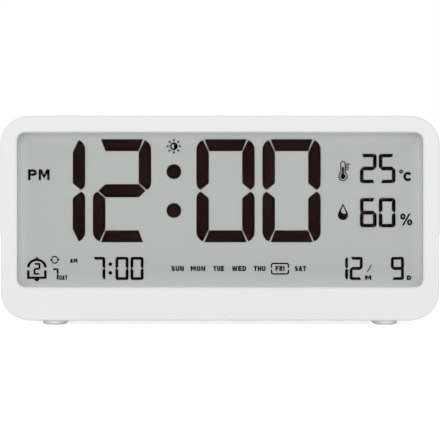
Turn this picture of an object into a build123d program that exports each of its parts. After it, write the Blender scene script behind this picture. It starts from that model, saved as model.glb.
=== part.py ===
from build123d import *
import math
import os

# Desk clock with a thermometer and a hygrometer, in millimetres.
# +X is to the right seen from the front, +Y to the rear and +Z up.
# The origin is under the middle of the case, on the surface that the feet stand on.

# Case
case_width = 150.0
case_height = 70.0
case_depth = 36.0
case_corner_radius = 10.0
case_wall = 2.0
front_edge_round = 0.8
rear_edge_round = 2.5
rear_cover_depth = 4.0
seam_chamfer = 0.25
lip_clearance = 0.1
lip_thickness = 1.0
lip_depth = 1.5
overrun = 1.0           # how far a shape runs past the faces that it cuts or joins
touch_band = 0.01       # how near a plane an edge or face lies to count as in it

# Feet
foot_diameter = 8.4
foot_proud = 1.5
foot_seat_depth = 0.5
foot_seat_clearance = 0.05
foot_edge_round = 0.9
foot_side_inset = 18.3
foot_end_inset = 6.0

# Window and lens
window_side_margin = 5.7
window_top_margin = 5.75
window_bottom_margin = 11.45
window_corner_radius = 2.8
window_chamfer = 0.45
lens_recess = 0.5
lens_pad_clearance = 0.08
lens_flange_margin = 2.0
lens_flange_thickness = 1.0
gasket_thickness = 0.5
gasket_window_gap = 0.4

# Liquid crystal display, front to rear
polariser_thickness = 0.2
glass_thickness = 1.1
crystal_gap = 0.2
crystal_clearance = 0.05
glass_margin = 0.7
sheet_margin = 0.5
contact_ledge = 2.2
seal_width = 0.7
diffuser_thickness = 0.2
light_guide_thickness = 2.0
reflector_thickness = 0.2

# Backlight
backlight_space = 4.0
backlight_board_thickness = 0.8
backlight_board_inset = 3.4
backlight_clearance = 0.1
backlight_led_size = 1.6
backlight_led_length = 3.0
backlight_led_count = 3
backlight_pin_radius = 0.35
backlight_pin_spacing = 2.54
backlight_pin_room = 0.5

# Display frame
frame_clearance = 0.15
frame_wall = 1.0
frame_back = 1.2
frame_corner_radius = 2.5
frame_ear_width = 5.4
frame_ear_floor_gap = 0.4
frame_ear_spacing = 42.0
frame_screw_bite = 4.6
standoff_radius = 2.2
standoff_height = 1.6
standoff_hole_floor = 0.8
standoff_edge_x = 8.0
standoff_edge_z = 7.5
hook_rib_width = 8.0
hook_rib_depth = 1.2
hook_rib_overlap = 1.4
hook_rib_gap = 0.1
hook_rib_spacing = 90.0
zebra_end_inset = 12.0
zebra_clearance = 0.1

# Main board
board_thickness = 1.6
main_board_side_gap = 3.15
main_board_top_gap = 5.8
main_board_bottom_gap = 0.4
chip_radius = 7.0
chip_height = 1.6
chip_round = 1.4
chip_drop = 12.0           # below the board's middle
crystal_radius = 1.0
crystal_length = 6.0
crystal_offset_x = 7.5
crystal_lift = 10.0
capacitor_size = 2.0
capacitor_length = 3.2
capacitor_count = 4
capacitor_pitch = 5.0

# Screws: self-tapping into the plastic
screw_radius = 0.8
screw_thread_clearance = 0.03
screw_head_radius = 1.8
screw_head_height = 1.2
screw_head_chamfer = 0.4
cross_slot_depth = 0.6
screw_hole_clearance = 0.25
screw_hole_spare = 0.6
cross_slot_width = 0.5
cross_slot_share = 0.6

# Case bosses and case screws
boss_radius = 2.1
boss_lift = 2.6
case_boss_inset = 11.0
case_boss_stop = 4.0
case_pillar_radius = 2.3
case_head_wall = 1.0
case_head_depth = 3.8
case_head_clearance = 0.2
case_joint_gap = 0.1
case_screw_bite = 6.0
boss_web = 1.4

# Snap hooks along the rear cover's top edge
snap_hook_width = 8.0
snap_hook_reach = 2.6
snap_hook_nib = 0.5
snap_hook_spacing = 90.0
snap_recess_clearance = 0.15

# Snooze key on the top
snooze_length = 56.0
snooze_width = 10.0
snooze_sink = 0.15
snooze_clearance = 0.15
snooze_flange_margin = 1.0
snooze_flange_thickness = 1.2
snooze_flange_gap = 0.1
snooze_edge_round = 0.4
snooze_pusher_width = 4.0
snooze_pusher_depth = 2.4
snooze_travel = 0.5

# Snooze switch on the main board's upper edge
snooze_switch_width = 6.0
snooze_switch_depth = 3.6
snooze_switch_height = 4.0
snooze_switch_overhang = 1.0
snooze_plunger_radius = 1.2

# Rear keys on their sunken panel
rear_key_count = 5
rear_key_pitch = 16.0
rear_key_length = 9.0
rear_key_width = 4.6
rear_key_proud = 1.0
rear_key_clearance = 0.15
rear_key_flange_margin = 1.0
rear_key_flange_thickness = 0.8
rear_key_flange_gap = 0.1
rear_key_edge_round = 0.35
rear_key_drop = 14.0        # below the case's top
rear_key_travel = 0.3
key_panel_margin = 5.5
key_panel_height = 11.0
key_panel_depth = 1.2

# Key board and its switches
tact_size = 6.0
tact_height = 3.5
tact_plunger_radius = 1.5
tact_plunger_proud = 0.7
plunger_clearance = 0.05
plunger_hold = 1.0
plunger_bottom_gap = 0.2
key_pusher_radius = 1.6
key_pusher_length = 0.3
key_board_width = 88.0
key_board_height = 9.0
key_post_radius = 2.0
key_post_spacing = 80.0
key_post_inner_spacing = 16.0

# Battery bay in the rear cover, for two AAA cells one above the other
cell_diameter = 10.5
cell_length = 44.5
cell_nub_radius = 1.9
cell_nub_length = 1.0
cell_edge_chamfer = 0.4
cell_gap = 0.6
cell_side_clearance = 0.3
cell_floor_clearance = 0.2
cell_door_clearance = 0.3
cell_count = 2
bay_bottom = 9.5            # above the case's underside
bay_wall = 1.6
bay_floor = 1.3
bay_ridge_width = 0.4
bay_ridge_height = 3.0
bay_ridge_length = 30.0
contact_thickness = 0.4
contact_width = 8.5
contact_tail_width = 2.5
contact_tail_reach = 2.3
contact_slot_clearance = 0.1
spring_wire = 0.7
spring_outer_radius = 3.0
spring_turns = 4
spring_space = 5.7
spring_end_gap = 0.02
spring_samples = 24       # points a turn at which its gap is measured

# Battery door
door_thickness = 1.8
door_clearance = 0.2
door_ledge = 0.8
door_ledge_gap = 0.1
door_corner_radius = 1.6
door_tongue_width = 6.0
door_tongue_spacing = 28.0
door_tongue_thickness = 1.3
door_tongue_drop = 2.0
door_tongue_root = 1.8
door_tongue_gap = 0.2
door_tongue_swing = 0.9
door_latch_width = 9.0
door_latch_reach = 1.6
door_grip_length = 14.0
door_grip_width = 0.9
door_grip_depth = 0.5
door_grip_pitch = 2.2
door_grip_count = 4
door_grip_drop = 4.5
scoop_radius = 5.0
scoop_depth = 1.0

# Sounder
sounder_radius = 7.5
sounder_height = 3.5
sounder_mouth_depth = 1.2
sounder_height_centre = 27.5   # above the case's underside
sounder_ring_gap = 0.1
sounder_ring_wall = 1.0
sounder_ring_height = 2.6
sounder_hole_radius = 0.8
sounder_hole_ring = 3.2
sounder_hole_count = 6

# Sensors behind the vents
vent_length = 14.0
vent_width = 1.4
vent_pitch = 3.2
vent_count = 5
sensor_height_centre = 27.5    # above the case's underside
sensor_board_width = 15.0
sensor_board_height = 18.0
sensor_board_thickness = 1.0
sensor_post_radius = 1.6
sensor_post_length = 4.0
sensor_screw_bite = 2.0
sensor_post_edge = 2.6
humidity_sensor_size = 5.0
humidity_sensor_height = 1.2
humidity_sensor_hole = 1.0
humidity_sensor_offset_x = -3.2
thermistor_radius = 1.2
thermistor_length = 3.0
thermistor_offset_x = 3.4
thermistor_leg_radius = 0.25
thermistor_leg_length = 1.0

# Leads inside the case
battery_lead_diameter = 1.2
battery_lead_run = 9.0
fine_lead_diameter = 0.8
fine_lead_pitch = 1.6
lead_corner_share = 0.45
sounder_lead_rise = 13.0
sounder_lead_inset = 3.0
sensor_lead_rise = 13.0
sensor_lead_drop = 3.2
sensor_lead_count = 4
ribbon_width = 9.0
ribbon_thickness = 0.3
ribbon_offset_x = 24.0
ribbon_drop = 9.0

# Digits: what they read, and their sizes and places as shares of the window's width or height
zero, one, two, five = "abcdef", "bc", "abged", "afgcd"
six, seven, nine = "afgedc", "abc", "abcdfg"
time_reading = (one, two, zero, zero)
climate_readings = ((two, five), (six, zero))
alarm_reading = (seven, zero, zero)
repeat_reading, cycle_reading = two, seven
date_reading = (one, two, nine)
time_digit_width_share = 0.1431
time_digit_height_share = 0.6667
climate_digit_width_share = 0.0408
climate_digit_height_share = 0.1891
small_digit_width_share = 0.0314
small_digit_height_share = 0.1475
tiny_digit_width_share = 0.0161
tiny_digit_height_share = 0.0741
stroke_share = 0.2075           # a stroke in a digit's width
fine_stroke_share = 0.1980
tiny_stroke_share = 0.2300
time_digit_left_shares = (-0.4775, -0.3142, -0.0578, 0.1058)
time_digit_top_share = 0.0417
time_colon_x_share = -0.1142
time_colon_drop_shares = (0.2509, 0.5036)
time_colon_radius_share = 0.1241     # in a digit's width
climate_digit_left_shares = (0.3468, 0.3936)
climate_digit_top_shares = (0.1359, 0.4231)
alarm_digit_left_shares = (-0.3159, -0.2585, -0.2213)
alarm_colon_x_share = -0.2716
alarm_colon_drop_shares = (0.8525, 0.9090)
alarm_colon_radius_share = 0.1297    # in a digit's width
bottom_row_top_share = 0.8064
repeat_digit_left_share = -0.4614
repeat_digit_top_share = 0.8460
cycle_digit_left_share = -0.4164
cycle_digit_top_share = 0.8804
date_digit_left_shares = (0.2852, 0.3216, 0.4238)

# One digit's segments, as shares of its stroke
bar_outer_inset_share = 0.675
bar_inner_inset_share = 1.05
bar_depth_share = 0.95
post_tip_inset_share = 0.51
post_tip_drop_share = 0.07
post_shoulder_drop_share = 1.06
post_round_drop_share = 0.86
waist_tip_inset_share = 0.34
waist_tip_gap_share = 0.09
waist_shoulder_share = 0.645
middle_bar_inset_share = 0.475
middle_bar_half_share = 0.525
middle_bar_shoulder_share = 1.03

# Places worked out from the sizes above
front_y = -case_depth / 2
rear_y = case_depth / 2
split_y = rear_y - rear_cover_depth
front_wall_y = front_y + case_wall
rear_wall_y = rear_y - case_wall
base_z = foot_proud
case_mid_z = base_z + case_height / 2
top_z = base_z + case_height
floor_z = base_z + case_wall
ceiling_z = top_z - case_wall

window_width = case_width - 2 * window_side_margin
window_height = case_height - window_top_margin - window_bottom_margin
window_top = top_z - window_top_margin
window_bottom = base_z + window_bottom_margin
window_mid_z = (window_top + window_bottom) / 2

lens_face_y = front_y + lens_recess
lens_back_y = front_wall_y + lens_flange_thickness
gasket_back_y = lens_back_y + gasket_thickness
front_polariser_back_y = gasket_back_y + polariser_thickness
front_glass_back_y = front_polariser_back_y + glass_thickness
rear_glass_y = front_glass_back_y + crystal_gap
rear_glass_back_y = rear_glass_y + glass_thickness
rear_polariser_back_y = rear_glass_back_y + polariser_thickness
diffuser_back_y = rear_polariser_back_y + diffuser_thickness
light_guide_back_y = diffuser_back_y + light_guide_thickness
reflector_back_y = light_guide_back_y + reflector_thickness
frame_back_y = reflector_back_y + frame_back
board_front_y = frame_back_y + standoff_height
board_back_y = board_front_y + board_thickness

glass_half_width = window_width / 2 + glass_margin
glass_top = window_top + glass_margin
rear_glass_bottom = window_bottom - glass_margin
front_glass_bottom = rear_glass_bottom - contact_ledge
frame_pocket_half = glass_half_width + frame_clearance
frame_half_width = frame_pocket_half + frame_wall
frame_top = glass_top + frame_clearance + frame_wall
frame_bottom = front_glass_bottom - frame_clearance - frame_wall
zebra_low = front_glass_bottom + zebra_clearance
zebra_high = rear_glass_bottom - zebra_clearance

zebra_half = glass_half_width - zebra_end_inset
backlight_board_length = window_height - 2 * backlight_board_inset

board_half = frame_half_width - main_board_side_gap
board_bottom = frame_bottom + main_board_bottom_gap
board_top = frame_top - main_board_top_gap
board_mid_z = (board_bottom + board_top) / 2
boss_z = floor_z + boss_lift
case_boss_x = case_width / 2 - case_boss_inset
case_boss_end_y = rear_wall_y - case_boss_stop - case_joint_gap - case_head_wall
case_head_seat_y = rear_y - case_head_depth
screw_hole_radius = screw_radius + screw_hole_clearance
screw_shank_radius = screw_radius - screw_thread_clearance

cell_radius = cell_diameter / 2
cell_pitch = cell_diameter + cell_gap
bay_low_z = base_z + bay_bottom
bay_height = cell_count * cell_diameter + (cell_count - 1) * cell_gap + 2 * cell_side_clearance
bay_high_z = bay_low_z + bay_height
bay_mid_z = (bay_low_z + bay_high_z) / 2
bay_width = cell_length + spring_space + 2 * contact_thickness
bay_half = bay_width / 2
door_inner_y = rear_y - door_thickness
cell_y = door_inner_y - cell_door_clearance - cell_radius
bay_floor_top_y = cell_y - cell_radius - cell_floor_clearance
bay_floor_y = bay_floor_top_y - bay_floor
cell_rows = [bay_low_z + cell_side_clearance + cell_radius + row * cell_pitch for row in range(cell_count)]
door_opening_width = bay_width + 2 * door_ledge
door_opening_height = bay_height + 2 * door_ledge
door_opening_low = bay_low_z - door_ledge
door_opening_high = bay_high_z + door_ledge

key_z = top_z - rear_key_drop
panel_face_y = rear_y - key_panel_depth
panel_inner_y = panel_face_y - case_wall
key_flange_back_y = panel_inner_y - rear_key_flange_gap
key_flange_front_y = key_flange_back_y - rear_key_flange_thickness
tact_tip_y = key_flange_front_y - key_pusher_length
tact_face_y = tact_tip_y - tact_plunger_proud
key_board_back_y = tact_face_y - tact_height
key_board_front_y = key_board_back_y - board_thickness
key_places = [(index - (rear_key_count - 1) / 2) * rear_key_pitch for index in range(rear_key_count)]
key_posts = [side * gap / 2 for gap in (key_post_spacing, key_post_inner_spacing) for side in (-1, 1)]

snooze_flange_top = ceiling_z - snooze_flange_gap
snooze_flange_low = snooze_flange_top - snooze_flange_thickness
snooze_switch_top = board_top + snooze_switch_overhang
snooze_switch_low = snooze_switch_top - snooze_switch_height
snooze_switch_back_y = board_back_y + snooze_switch_depth
snooze_plunger_y = (board_back_y + snooze_switch_back_y) / 2
snooze_tip_z = snooze_switch_top + snooze_travel + plunger_hold

bay_side_x = bay_half + bay_wall
chip_x = -(bay_side_x + board_half) / 2
chip_z = board_mid_z - chip_drop
side_room_x = (bay_side_x + case_width / 2 - case_wall) / 2
sounder_x, sensor_x = side_room_x, -side_room_x
sounder_z = base_z + sounder_height_centre
sounder_front_y = rear_wall_y - sounder_height
sensor_z = base_z + sensor_height_centre
sensor_board_back_y = rear_wall_y - sensor_post_length
sensor_board_front_y = sensor_board_back_y - sensor_board_thickness
sensor_posts = [sensor_z + side * (sensor_board_height / 2 - sensor_post_edge) for side in (-1, 1)]

foot_x = case_width / 2 - foot_side_inset
foot_places = [
    (side * foot_x, y) for side in (-1, 1) for y in (front_y + foot_end_inset, split_y - foot_end_inset)
]


def slab(outline, y_front, y_rear):
    """Extrudes an outline drawn in X and Z from one depth to another."""
    rear = Plane(origin=(0, y_rear, 0), x_dir=(1, 0, 0), z_dir=(0, -1, 0))
    return extrude(rear * outline, amount=y_rear - y_front, dir=(0, -1, 0))


def plate(outline, z_low, z_high):
    """Extrudes an outline drawn in X and Y from one height to another."""
    return extrude(Plane.XY.offset(z_low) * outline, amount=z_high - z_low, dir=(0, 0, 1))


def bar(outline, x_low, x_high):
    """Extrudes an outline drawn in Y and Z from one side to the other."""
    side = Plane(origin=(x_low, 0, 0), x_dir=(0, 1, 0), z_dir=(1, 0, 0))
    return extrude(side * outline, amount=x_high - x_low, dir=(1, 0, 0))


def block(x_span, y_span, z_span):
    """A box between three pairs of limits."""
    spans = (x_span, y_span, z_span)
    middle = [(low + high) / 2 for low, high in spans]
    return Pos(*middle) * Box(*[high - low for low, high in spans])


def around(middle, size):
    """The two limits of a size that lies evenly about its middle."""
    return (middle - size / 2, middle + size / 2)


def rounded(width, height, radius, x=0, z=0):
    """A rounded rectangle about a point."""
    return Pos(x, z) * RectangleRounded(width, height, radius)


def pill(length, width, x=0, z=0):
    """A slot with round ends about a point."""
    return Pos(x, z) * SlotOverall(length, width)


def disc(radius, x=0, z=0):
    """A circle about a point."""
    return Pos(x, z) * Circle(radius)


def window_outline(growth=0, radius_growth=0):
    """The window's outline, wider all round by a margin."""
    return rounded(
        window_width + 2 * growth, window_height + 2 * growth, window_corner_radius + radius_growth,
        z=window_mid_z,
    )


def sheet_outline(half_width, z_low, z_high):
    """A plain rectangle about the middle of the display."""
    return Pos(0, (z_low + z_high) / 2) * Rectangle(2 * half_width, z_high - z_low)


def case_outline(inset=0):
    """The case's outline seen from the front, drawn in by an inset."""
    return rounded(case_width - 2 * inset, case_height - 2 * inset, case_corner_radius - inset, z=case_mid_z)


def in_plane(shapes, axis, place):
    """The edges or faces that lie in one plane square to an axis."""
    return shapes.filter_by_position(axis, place - touch_band, place + touch_band)


def write_node(name, *shapes):
    """Writes one sub-part, with every solid that it has, to its own STEP file."""
    solids = [solid for shape in shapes for solid in shape.solids()]
    node = solids[0] if len(solids) == 1 else Compound(solids)
    node.label = name
    export_step(node, f"parts/{name}.step")


def screw(seat, direction, length, head_radius=screw_head_radius):
    """A pan-head screw with a cross slot, its head's underside on a seat."""
    place = Plane(origin=seat, z_dir=direction)
    shank = extrude(Circle(screw_shank_radius), amount=-length)
    head = extrude(Circle(head_radius), amount=screw_head_height)
    head = chamfer(in_plane(head.edges(), Axis.Z, screw_head_height), screw_head_chamfer)
    slot_length = 2 * head_radius * cross_slot_share
    slots = Rectangle(slot_length, cross_slot_width) + Rectangle(cross_slot_width, slot_length)
    sunk = Plane.XY.offset(screw_head_height - cross_slot_depth) * slots
    return place * (head + shank - extrude(sunk, amount=screw_head_height))


def tube(points, diameter):
    """A lead along straight runs joined by arcs as large as its runs allow."""
    radii = []
    for before, corner, after in zip(points, points[1:], points[2:]):
        arriving, leaving = Vector(*corner) - Vector(*before), Vector(*after) - Vector(*corner)
        turn = math.radians(arriving.get_angle(leaving))
        shorter = min(arriving.length, leaving.length)
        radii.append(lead_corner_share * shorter / math.tan(turn / 2))
    path = FilletPolyline(*points, radius=radii)
    start = Plane(origin=points[0], z_dir=Vector(*points[1]) - Vector(*points[0]))
    lead = sweep(start * Circle(diameter / 2), path=path)
    share = lead.volume / (math.pi * (diameter / 2) ** 2 * path.length)
    print("lead radii", [round(radius, 2) for radius in radii], "length", round(path.length, 1),
          "volume over section times length", round(share, 4))
    return lead


# Case

def front_housing():
    """The bezel and side walls in one moulding, open at the rear."""
    body = slab(case_outline(), front_y, split_y)
    body = fillet(in_plane(body.faces(), Axis.Y, front_y).edges(), front_edge_round)
    body = chamfer(in_plane(body.faces(), Axis.Y, split_y).edges(), seam_chamfer)
    body -= slab(case_outline(case_wall), front_wall_y, split_y + overrun)
    body -= slab(window_outline(), front_y - overrun, front_wall_y + overrun)
    rim = [edge for edge in in_plane(body.edges(), Axis.Y, front_y)
           if abs(edge.center().X) < (window_width + case_width) / 4
           and abs(edge.center().Z - window_mid_z) < (window_height + window_top_margin) / 2]
    body = chamfer(rim, window_chamfer)

    for side in (-1, 1):
        body += screw_boss(side * case_boss_x, case_boss_end_y)
        body += hook_rib(side * hook_rib_spacing / 2)
    for step in (-1, 0, 1):
        body += screw_boss(step * frame_ear_spacing, reflector_back_y)
    for side in (-1, 1):
        body -= screw_hole(side * case_boss_x, case_boss_end_y, case_screw_bite)
        body -= snap_recess(side * snap_hook_spacing / 2)
    for step in (-1, 0, 1):
        body -= screw_hole(step * frame_ear_spacing, reflector_back_y, frame_screw_bite)
    for x, y in foot_places:
        seat = disc(foot_diameter / 2 + foot_seat_clearance, x, y)
        body -= plate(seat, base_z - overrun, base_z + foot_seat_depth)
    opening = pill(snooze_length + 2 * snooze_clearance, snooze_width + 2 * snooze_clearance)
    return body - plate(opening, ceiling_z - overrun, top_z + overrun)


def screw_boss(x, end_y):
    """A round boss on the front wall with a web down to the case's floor."""
    round_boss = slab(disc(boss_radius, x, boss_z), front_wall_y - overrun, end_y)
    web = block(around(x, boss_web), (front_wall_y - overrun, end_y), (floor_z - overrun, boss_z))
    return round_boss + web


def screw_hole(x, end_y, bite):
    """The blind hole that a screw cuts its thread in."""
    return slab(disc(screw_radius, x, boss_z), end_y - bite - screw_hole_spare, end_y + overrun)


def hook_rib(x):
    """A rib under the top wall that the display frame's upper edge tucks behind."""
    low = frame_top - hook_rib_overlap
    front = frame_back_y + hook_rib_gap
    return block(around(x, hook_rib_width), (front, front + hook_rib_depth), (low, ceiling_z + overrun))


def snap_recess(x):
    """The pocket in the top wall that a snap hook's nib springs into."""
    nib_front = split_y - snap_hook_reach
    depth = (nib_front - snap_recess_clearance, nib_front + snap_hook_nib * 2 + snap_recess_clearance)
    width = around(x, snap_hook_width + 2 * snap_recess_clearance)
    return block(width, depth, (ceiling_z - overrun, ceiling_z + snap_hook_nib + snap_recess_clearance))


def rear_cover():
    """The rear wall with its rim, battery bay, key panel, pillars, hooks, vents and sounder ring."""
    body = slab(case_outline(), split_y, rear_y)
    body = fillet(in_plane(body.faces(), Axis.Y, rear_y).edges(), rear_edge_round)
    body = chamfer(in_plane(body.faces(), Axis.Y, split_y).edges(), seam_chamfer)
    body -= slab(case_outline(case_wall), split_y - overrun, rear_wall_y)
    body += lip_ring(0, split_y, rear_wall_y) + lip_ring(lip_clearance, split_y - lip_depth, split_y)
    for side in (-1, 1):
        body += snap_hook(side * snap_hook_spacing / 2)
        body += case_pillar(side * case_boss_x)
    body += bay_shell()
    panel_width = (rear_key_count - 1) * rear_key_pitch + rear_key_length + 2 * key_panel_margin
    thick = pill(panel_width + 2 * case_wall, key_panel_height + 2 * case_wall, z=key_z)
    body += slab(thick, panel_inner_y, rear_wall_y)
    body -= slab(pill(panel_width, key_panel_height, z=key_z), panel_face_y, rear_y + overrun)
    room = 2 * rear_key_clearance
    for x in key_places:
        opening = pill(rear_key_length + room, rear_key_width + room, x, key_z)
        body -= slab(opening, panel_inner_y - overrun, rear_y)
    for x in key_posts:
        body += slab(disc(key_post_radius, x, key_z), key_board_back_y, panel_inner_y)
        hole = disc(screw_radius, x, key_z)
        body -= slab(hole, key_board_back_y - overrun, panel_inner_y - screw_hole_spare)

    body -= bay_space()
    for side in (-1, 1):
        body -= case_screw_passage(side * case_boss_x)

    ring = disc(sounder_radius + sounder_ring_gap + sounder_ring_wall, sounder_x, sounder_z)
    ring -= disc(sounder_radius + sounder_ring_gap, sounder_x, sounder_z)
    body += slab(ring, rear_wall_y - sounder_ring_height, rear_wall_y)
    for x, z in sounder_holes():
        body -= slab(disc(sounder_hole_radius, x, z), rear_wall_y - overrun, rear_y + overrun)
    for index in range(vent_count):
        z = sensor_z + (index - (vent_count - 1) / 2) * vent_pitch
        vent = pill(vent_length, vent_width, sensor_x, z)
        body -= slab(vent, rear_wall_y - overrun, rear_y + overrun)
    for z in sensor_posts:
        body += slab(disc(sensor_post_radius, sensor_x, z), sensor_board_back_y, rear_wall_y)
        hole = disc(screw_radius, sensor_x, z)
        body -= slab(hole, sensor_board_back_y - overrun, rear_wall_y - screw_hole_spare)
    return body


def lip_ring(clearance, y_front, y_rear):
    """A ring inside the case's walls, drawn in by a clearance."""
    inset = case_wall + clearance
    return slab(case_outline(inset) - case_outline(inset + lip_thickness), y_front, y_rear)


def snap_hook(x):
    """A tab along the top wall whose nib snaps into the front housing."""
    top = ceiling_z - lip_clearance
    nib_front = split_y - snap_hook_reach
    tab = block(around(x, snap_hook_width), (nib_front, split_y), (top - lip_thickness, top))
    nib = block(around(x, snap_hook_width), (nib_front, nib_front + 2 * snap_hook_nib),
                (top - lip_thickness / 2, ceiling_z + snap_hook_nib))
    return tab + nib


def case_pillar(x):
    """The pillar that carries a case screw's head, ending just clear of its boss."""
    front = case_boss_end_y + case_joint_gap
    slim = slab(disc(case_pillar_radius, x, boss_z), front, rear_wall_y)
    seat_front = case_head_seat_y - case_head_wall
    stout = slab(disc(case_pillar_radius + case_head_wall, x, boss_z), seat_front, rear_wall_y)
    inside = slab(sheet_outline(case_width / 2, floor_z + lip_clearance, case_mid_z), front, split_y)
    rim = slab(sheet_outline(case_width / 2, base_z + case_wall / 2, case_mid_z), split_y, rear_wall_y)
    return (slim + stout) & (inside + rim)


def case_screw_passage(x):
    """The clearance hole and the deep round pocket for one case screw."""
    hole = slab(disc(screw_hole_radius, x, boss_z), case_boss_end_y, rear_y)
    pocket = disc(screw_head_radius + case_head_clearance, x, boss_z)
    return hole + slab(pocket, case_head_seat_y, rear_y + overrun)


def bay_shell():
    """The battery bay's walls and floor before they are hollowed."""
    outline = sheet_outline(bay_half + bay_wall, bay_low_z - bay_wall, bay_high_z + bay_wall)
    return slab(outline, bay_floor_y, rear_wall_y)


def bay_space():
    """All that is cut for the cells, the door, its tongues, its latch and the contact tails."""
    space = slab(sheet_outline(bay_half, bay_low_z, bay_high_z), bay_floor_top_y, rear_y)
    for ridge in range(1, cell_count):
        z = bay_low_z + cell_side_clearance + ridge * cell_pitch - cell_gap / 2
        low = bay_floor_top_y - overrun
        space -= block(around(0, bay_ridge_length), (low, bay_floor_top_y + bay_ridge_height),
                       around(z, bay_ridge_width))
    ledge_y = door_inner_y - door_ledge_gap
    opening = rounded(door_opening_width, door_opening_height, door_corner_radius, z=bay_mid_z)
    space += slab(opening, ledge_y, rear_y + overrun)
    for side in (-1, 1):
        width = around(side * door_tongue_spacing / 2, door_tongue_width + 2 * door_clearance)
        front = tongue_front_y() - door_tongue_swing
        space += block(width, (front, rear_wall_y), (bay_low_z - bay_wall - overrun, bay_low_z + overrun))
        space += block(width, (front, door_inner_y), (door_opening_low, bay_low_z + overrun))
    latch_width = door_latch_width + 2 * door_clearance
    latch_top = door_opening_high + door_latch_reach
    space += block(around(0, latch_width), (ledge_y, rear_y + overrun), (bay_high_z, latch_top))
    scoop = disc(scoop_radius, 0, door_opening_high + door_ledge)
    space += slab(scoop, rear_y - scoop_depth, rear_y + overrun)
    for x, z in contact_tails():
        slot_x = around(x, contact_thickness + 2 * contact_slot_clearance)
        slot_z = around(z, contact_tail_width + 2 * contact_slot_clearance)
        space += block(slot_x, (bay_floor_y - overrun, bay_floor_top_y + overrun), slot_z)
    return space


def sounder_holes():
    """The places of the sounder's holes: one in the middle and a ring round it."""
    places = [(sounder_x, sounder_z)]
    for index in range(sounder_hole_count):
        angle = 2 * math.pi * index / sounder_hole_count
        places.append((sounder_x + sounder_hole_ring * math.cos(angle),
                       sounder_z + sounder_hole_ring * math.sin(angle)))
    return places


def rubber_foot(x, y):
    """A soft round foot with a rounded rim, seated in the case's underside."""
    foot = plate(disc(foot_diameter / 2, x, y), 0, base_z + foot_seat_depth)
    return fillet(in_plane(foot.edges(), Axis.Z, 0), foot_edge_round)


def case_screw(side):
    """A long screw through the rear cover's pillar into the front boss."""
    length = case_head_seat_y - case_boss_end_y + case_screw_bite
    return screw((side * case_boss_x, case_head_seat_y, boss_z), (0, 1, 0), length)


# Display

def display_lens():
    """A clear moulding whose raised middle stands in the window."""
    pad = slab(window_outline(-lens_pad_clearance, -lens_pad_clearance), lens_face_y, front_wall_y)
    flange = slab(window_outline(lens_flange_margin, lens_flange_margin), front_wall_y, lens_back_y)
    return pad + flange


def dust_gasket():
    """A soft frame between the lens and the display glass."""
    outer = window_outline(lens_flange_margin, lens_flange_margin)
    ring = outer - window_outline(gasket_window_gap, gasket_window_gap)
    return slab(ring, lens_back_y, gasket_back_y)


def sheet(y_front, y_rear, margin):
    """A thin sheet behind the window, wider all round by a margin."""
    outline = sheet_outline(window_width / 2 + margin, window_bottom - margin, window_top + margin)
    return slab(outline, y_front, y_rear)


def front_glass():
    """The front glass, whose lower edge reaches down past the rear glass to the contacts."""
    outline = sheet_outline(glass_half_width, front_glass_bottom, glass_top)
    return slab(outline, front_polariser_back_y, front_glass_back_y)


def edge_seal():
    """The bead that joins both glasses; the real gap of a few thousandths is drawn wider."""
    outer = sheet_outline(glass_half_width, rear_glass_bottom, glass_top)
    inset = seal_width
    inner = sheet_outline(glass_half_width - inset, rear_glass_bottom + inset, glass_top - inset)
    return slab(outer - inner, front_glass_back_y, rear_glass_y)


def segment_faces(width, height, stroke):
    """The seven faces of one digit, keyed a to g, its lower left corner at the origin."""
    middle = height / 2
    outer_low = (0, middle + waist_shoulder_share * stroke)
    outer_high = (0, height - post_round_drop_share * stroke)
    tip_high = (post_tip_inset_share * stroke, height - post_tip_drop_share * stroke)
    inner_high = (stroke, height - post_shoulder_drop_share * stroke)
    inner_low = (stroke, middle + waist_shoulder_share * stroke)
    tip_low = (waist_tip_inset_share * stroke, middle + waist_tip_gap_share * stroke)
    post = make_face([
        Edge.make_line(outer_low, outer_high),
        TangentArc(outer_high, tip_high, tangent=(0, 1)).edge(),
        Edge.make_line(tip_high, inner_high),
        Edge.make_line(inner_high, inner_low),
        Edge.make_line(inner_low, tip_low),
        TangentArc(outer_low, tip_low, tangent=(0, -1)).edge(),
    ])
    bar_low = height - bar_depth_share * stroke
    outer_inset, inner_inset = bar_outer_inset_share * stroke, bar_inner_inset_share * stroke
    top_bar = make_face(Polyline(
        (outer_inset, height), (width - outer_inset, height), (width - inner_inset, bar_low),
        (inner_inset, bar_low), close=True,
    ).edges())
    tip, shoulder = middle_bar_inset_share * stroke, middle_bar_shoulder_share * stroke
    half = middle_bar_half_share * stroke
    middle_bar = make_face(Polyline(
        (tip, middle), (shoulder, middle + half), (width - shoulder, middle + half), (width - tip, middle),
        (width - shoulder, middle - half), (shoulder, middle - half), close=True,
    ).edges())
    across = Plane(origin=(width / 2, 0, 0), z_dir=(1, 0, 0))
    over = Plane(origin=(0, middle, 0), z_dir=(0, 1, 0))
    return {
        "a": top_bar, "b": mirror(post, about=across), "c": mirror(mirror(post, about=across), about=over),
        "d": mirror(top_bar, about=over), "e": mirror(post, about=over), "f": post, "g": middle_bar,
    }


def digit(lit, left_share, top_share, width, height, stroke):
    """The lit segments of one digit as thin solids between the glasses."""
    corner = Pos(left_share * window_width, window_top - top_share * window_height - height)
    faces = segment_faces(width, height, stroke)
    return [slab(corner * faces[letter], *crystal_span()) for letter in lit]


def crystal_span():
    """The depths between which the dark segments lie."""
    return front_glass_back_y + crystal_clearance, rear_glass_y - crystal_clearance


def dot(x_share, drop_share, radius):
    """One round dot of a colon."""
    place = disc(radius, x_share * window_width, window_top - drop_share * window_height)
    return [slab(place, *crystal_span())]


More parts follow.
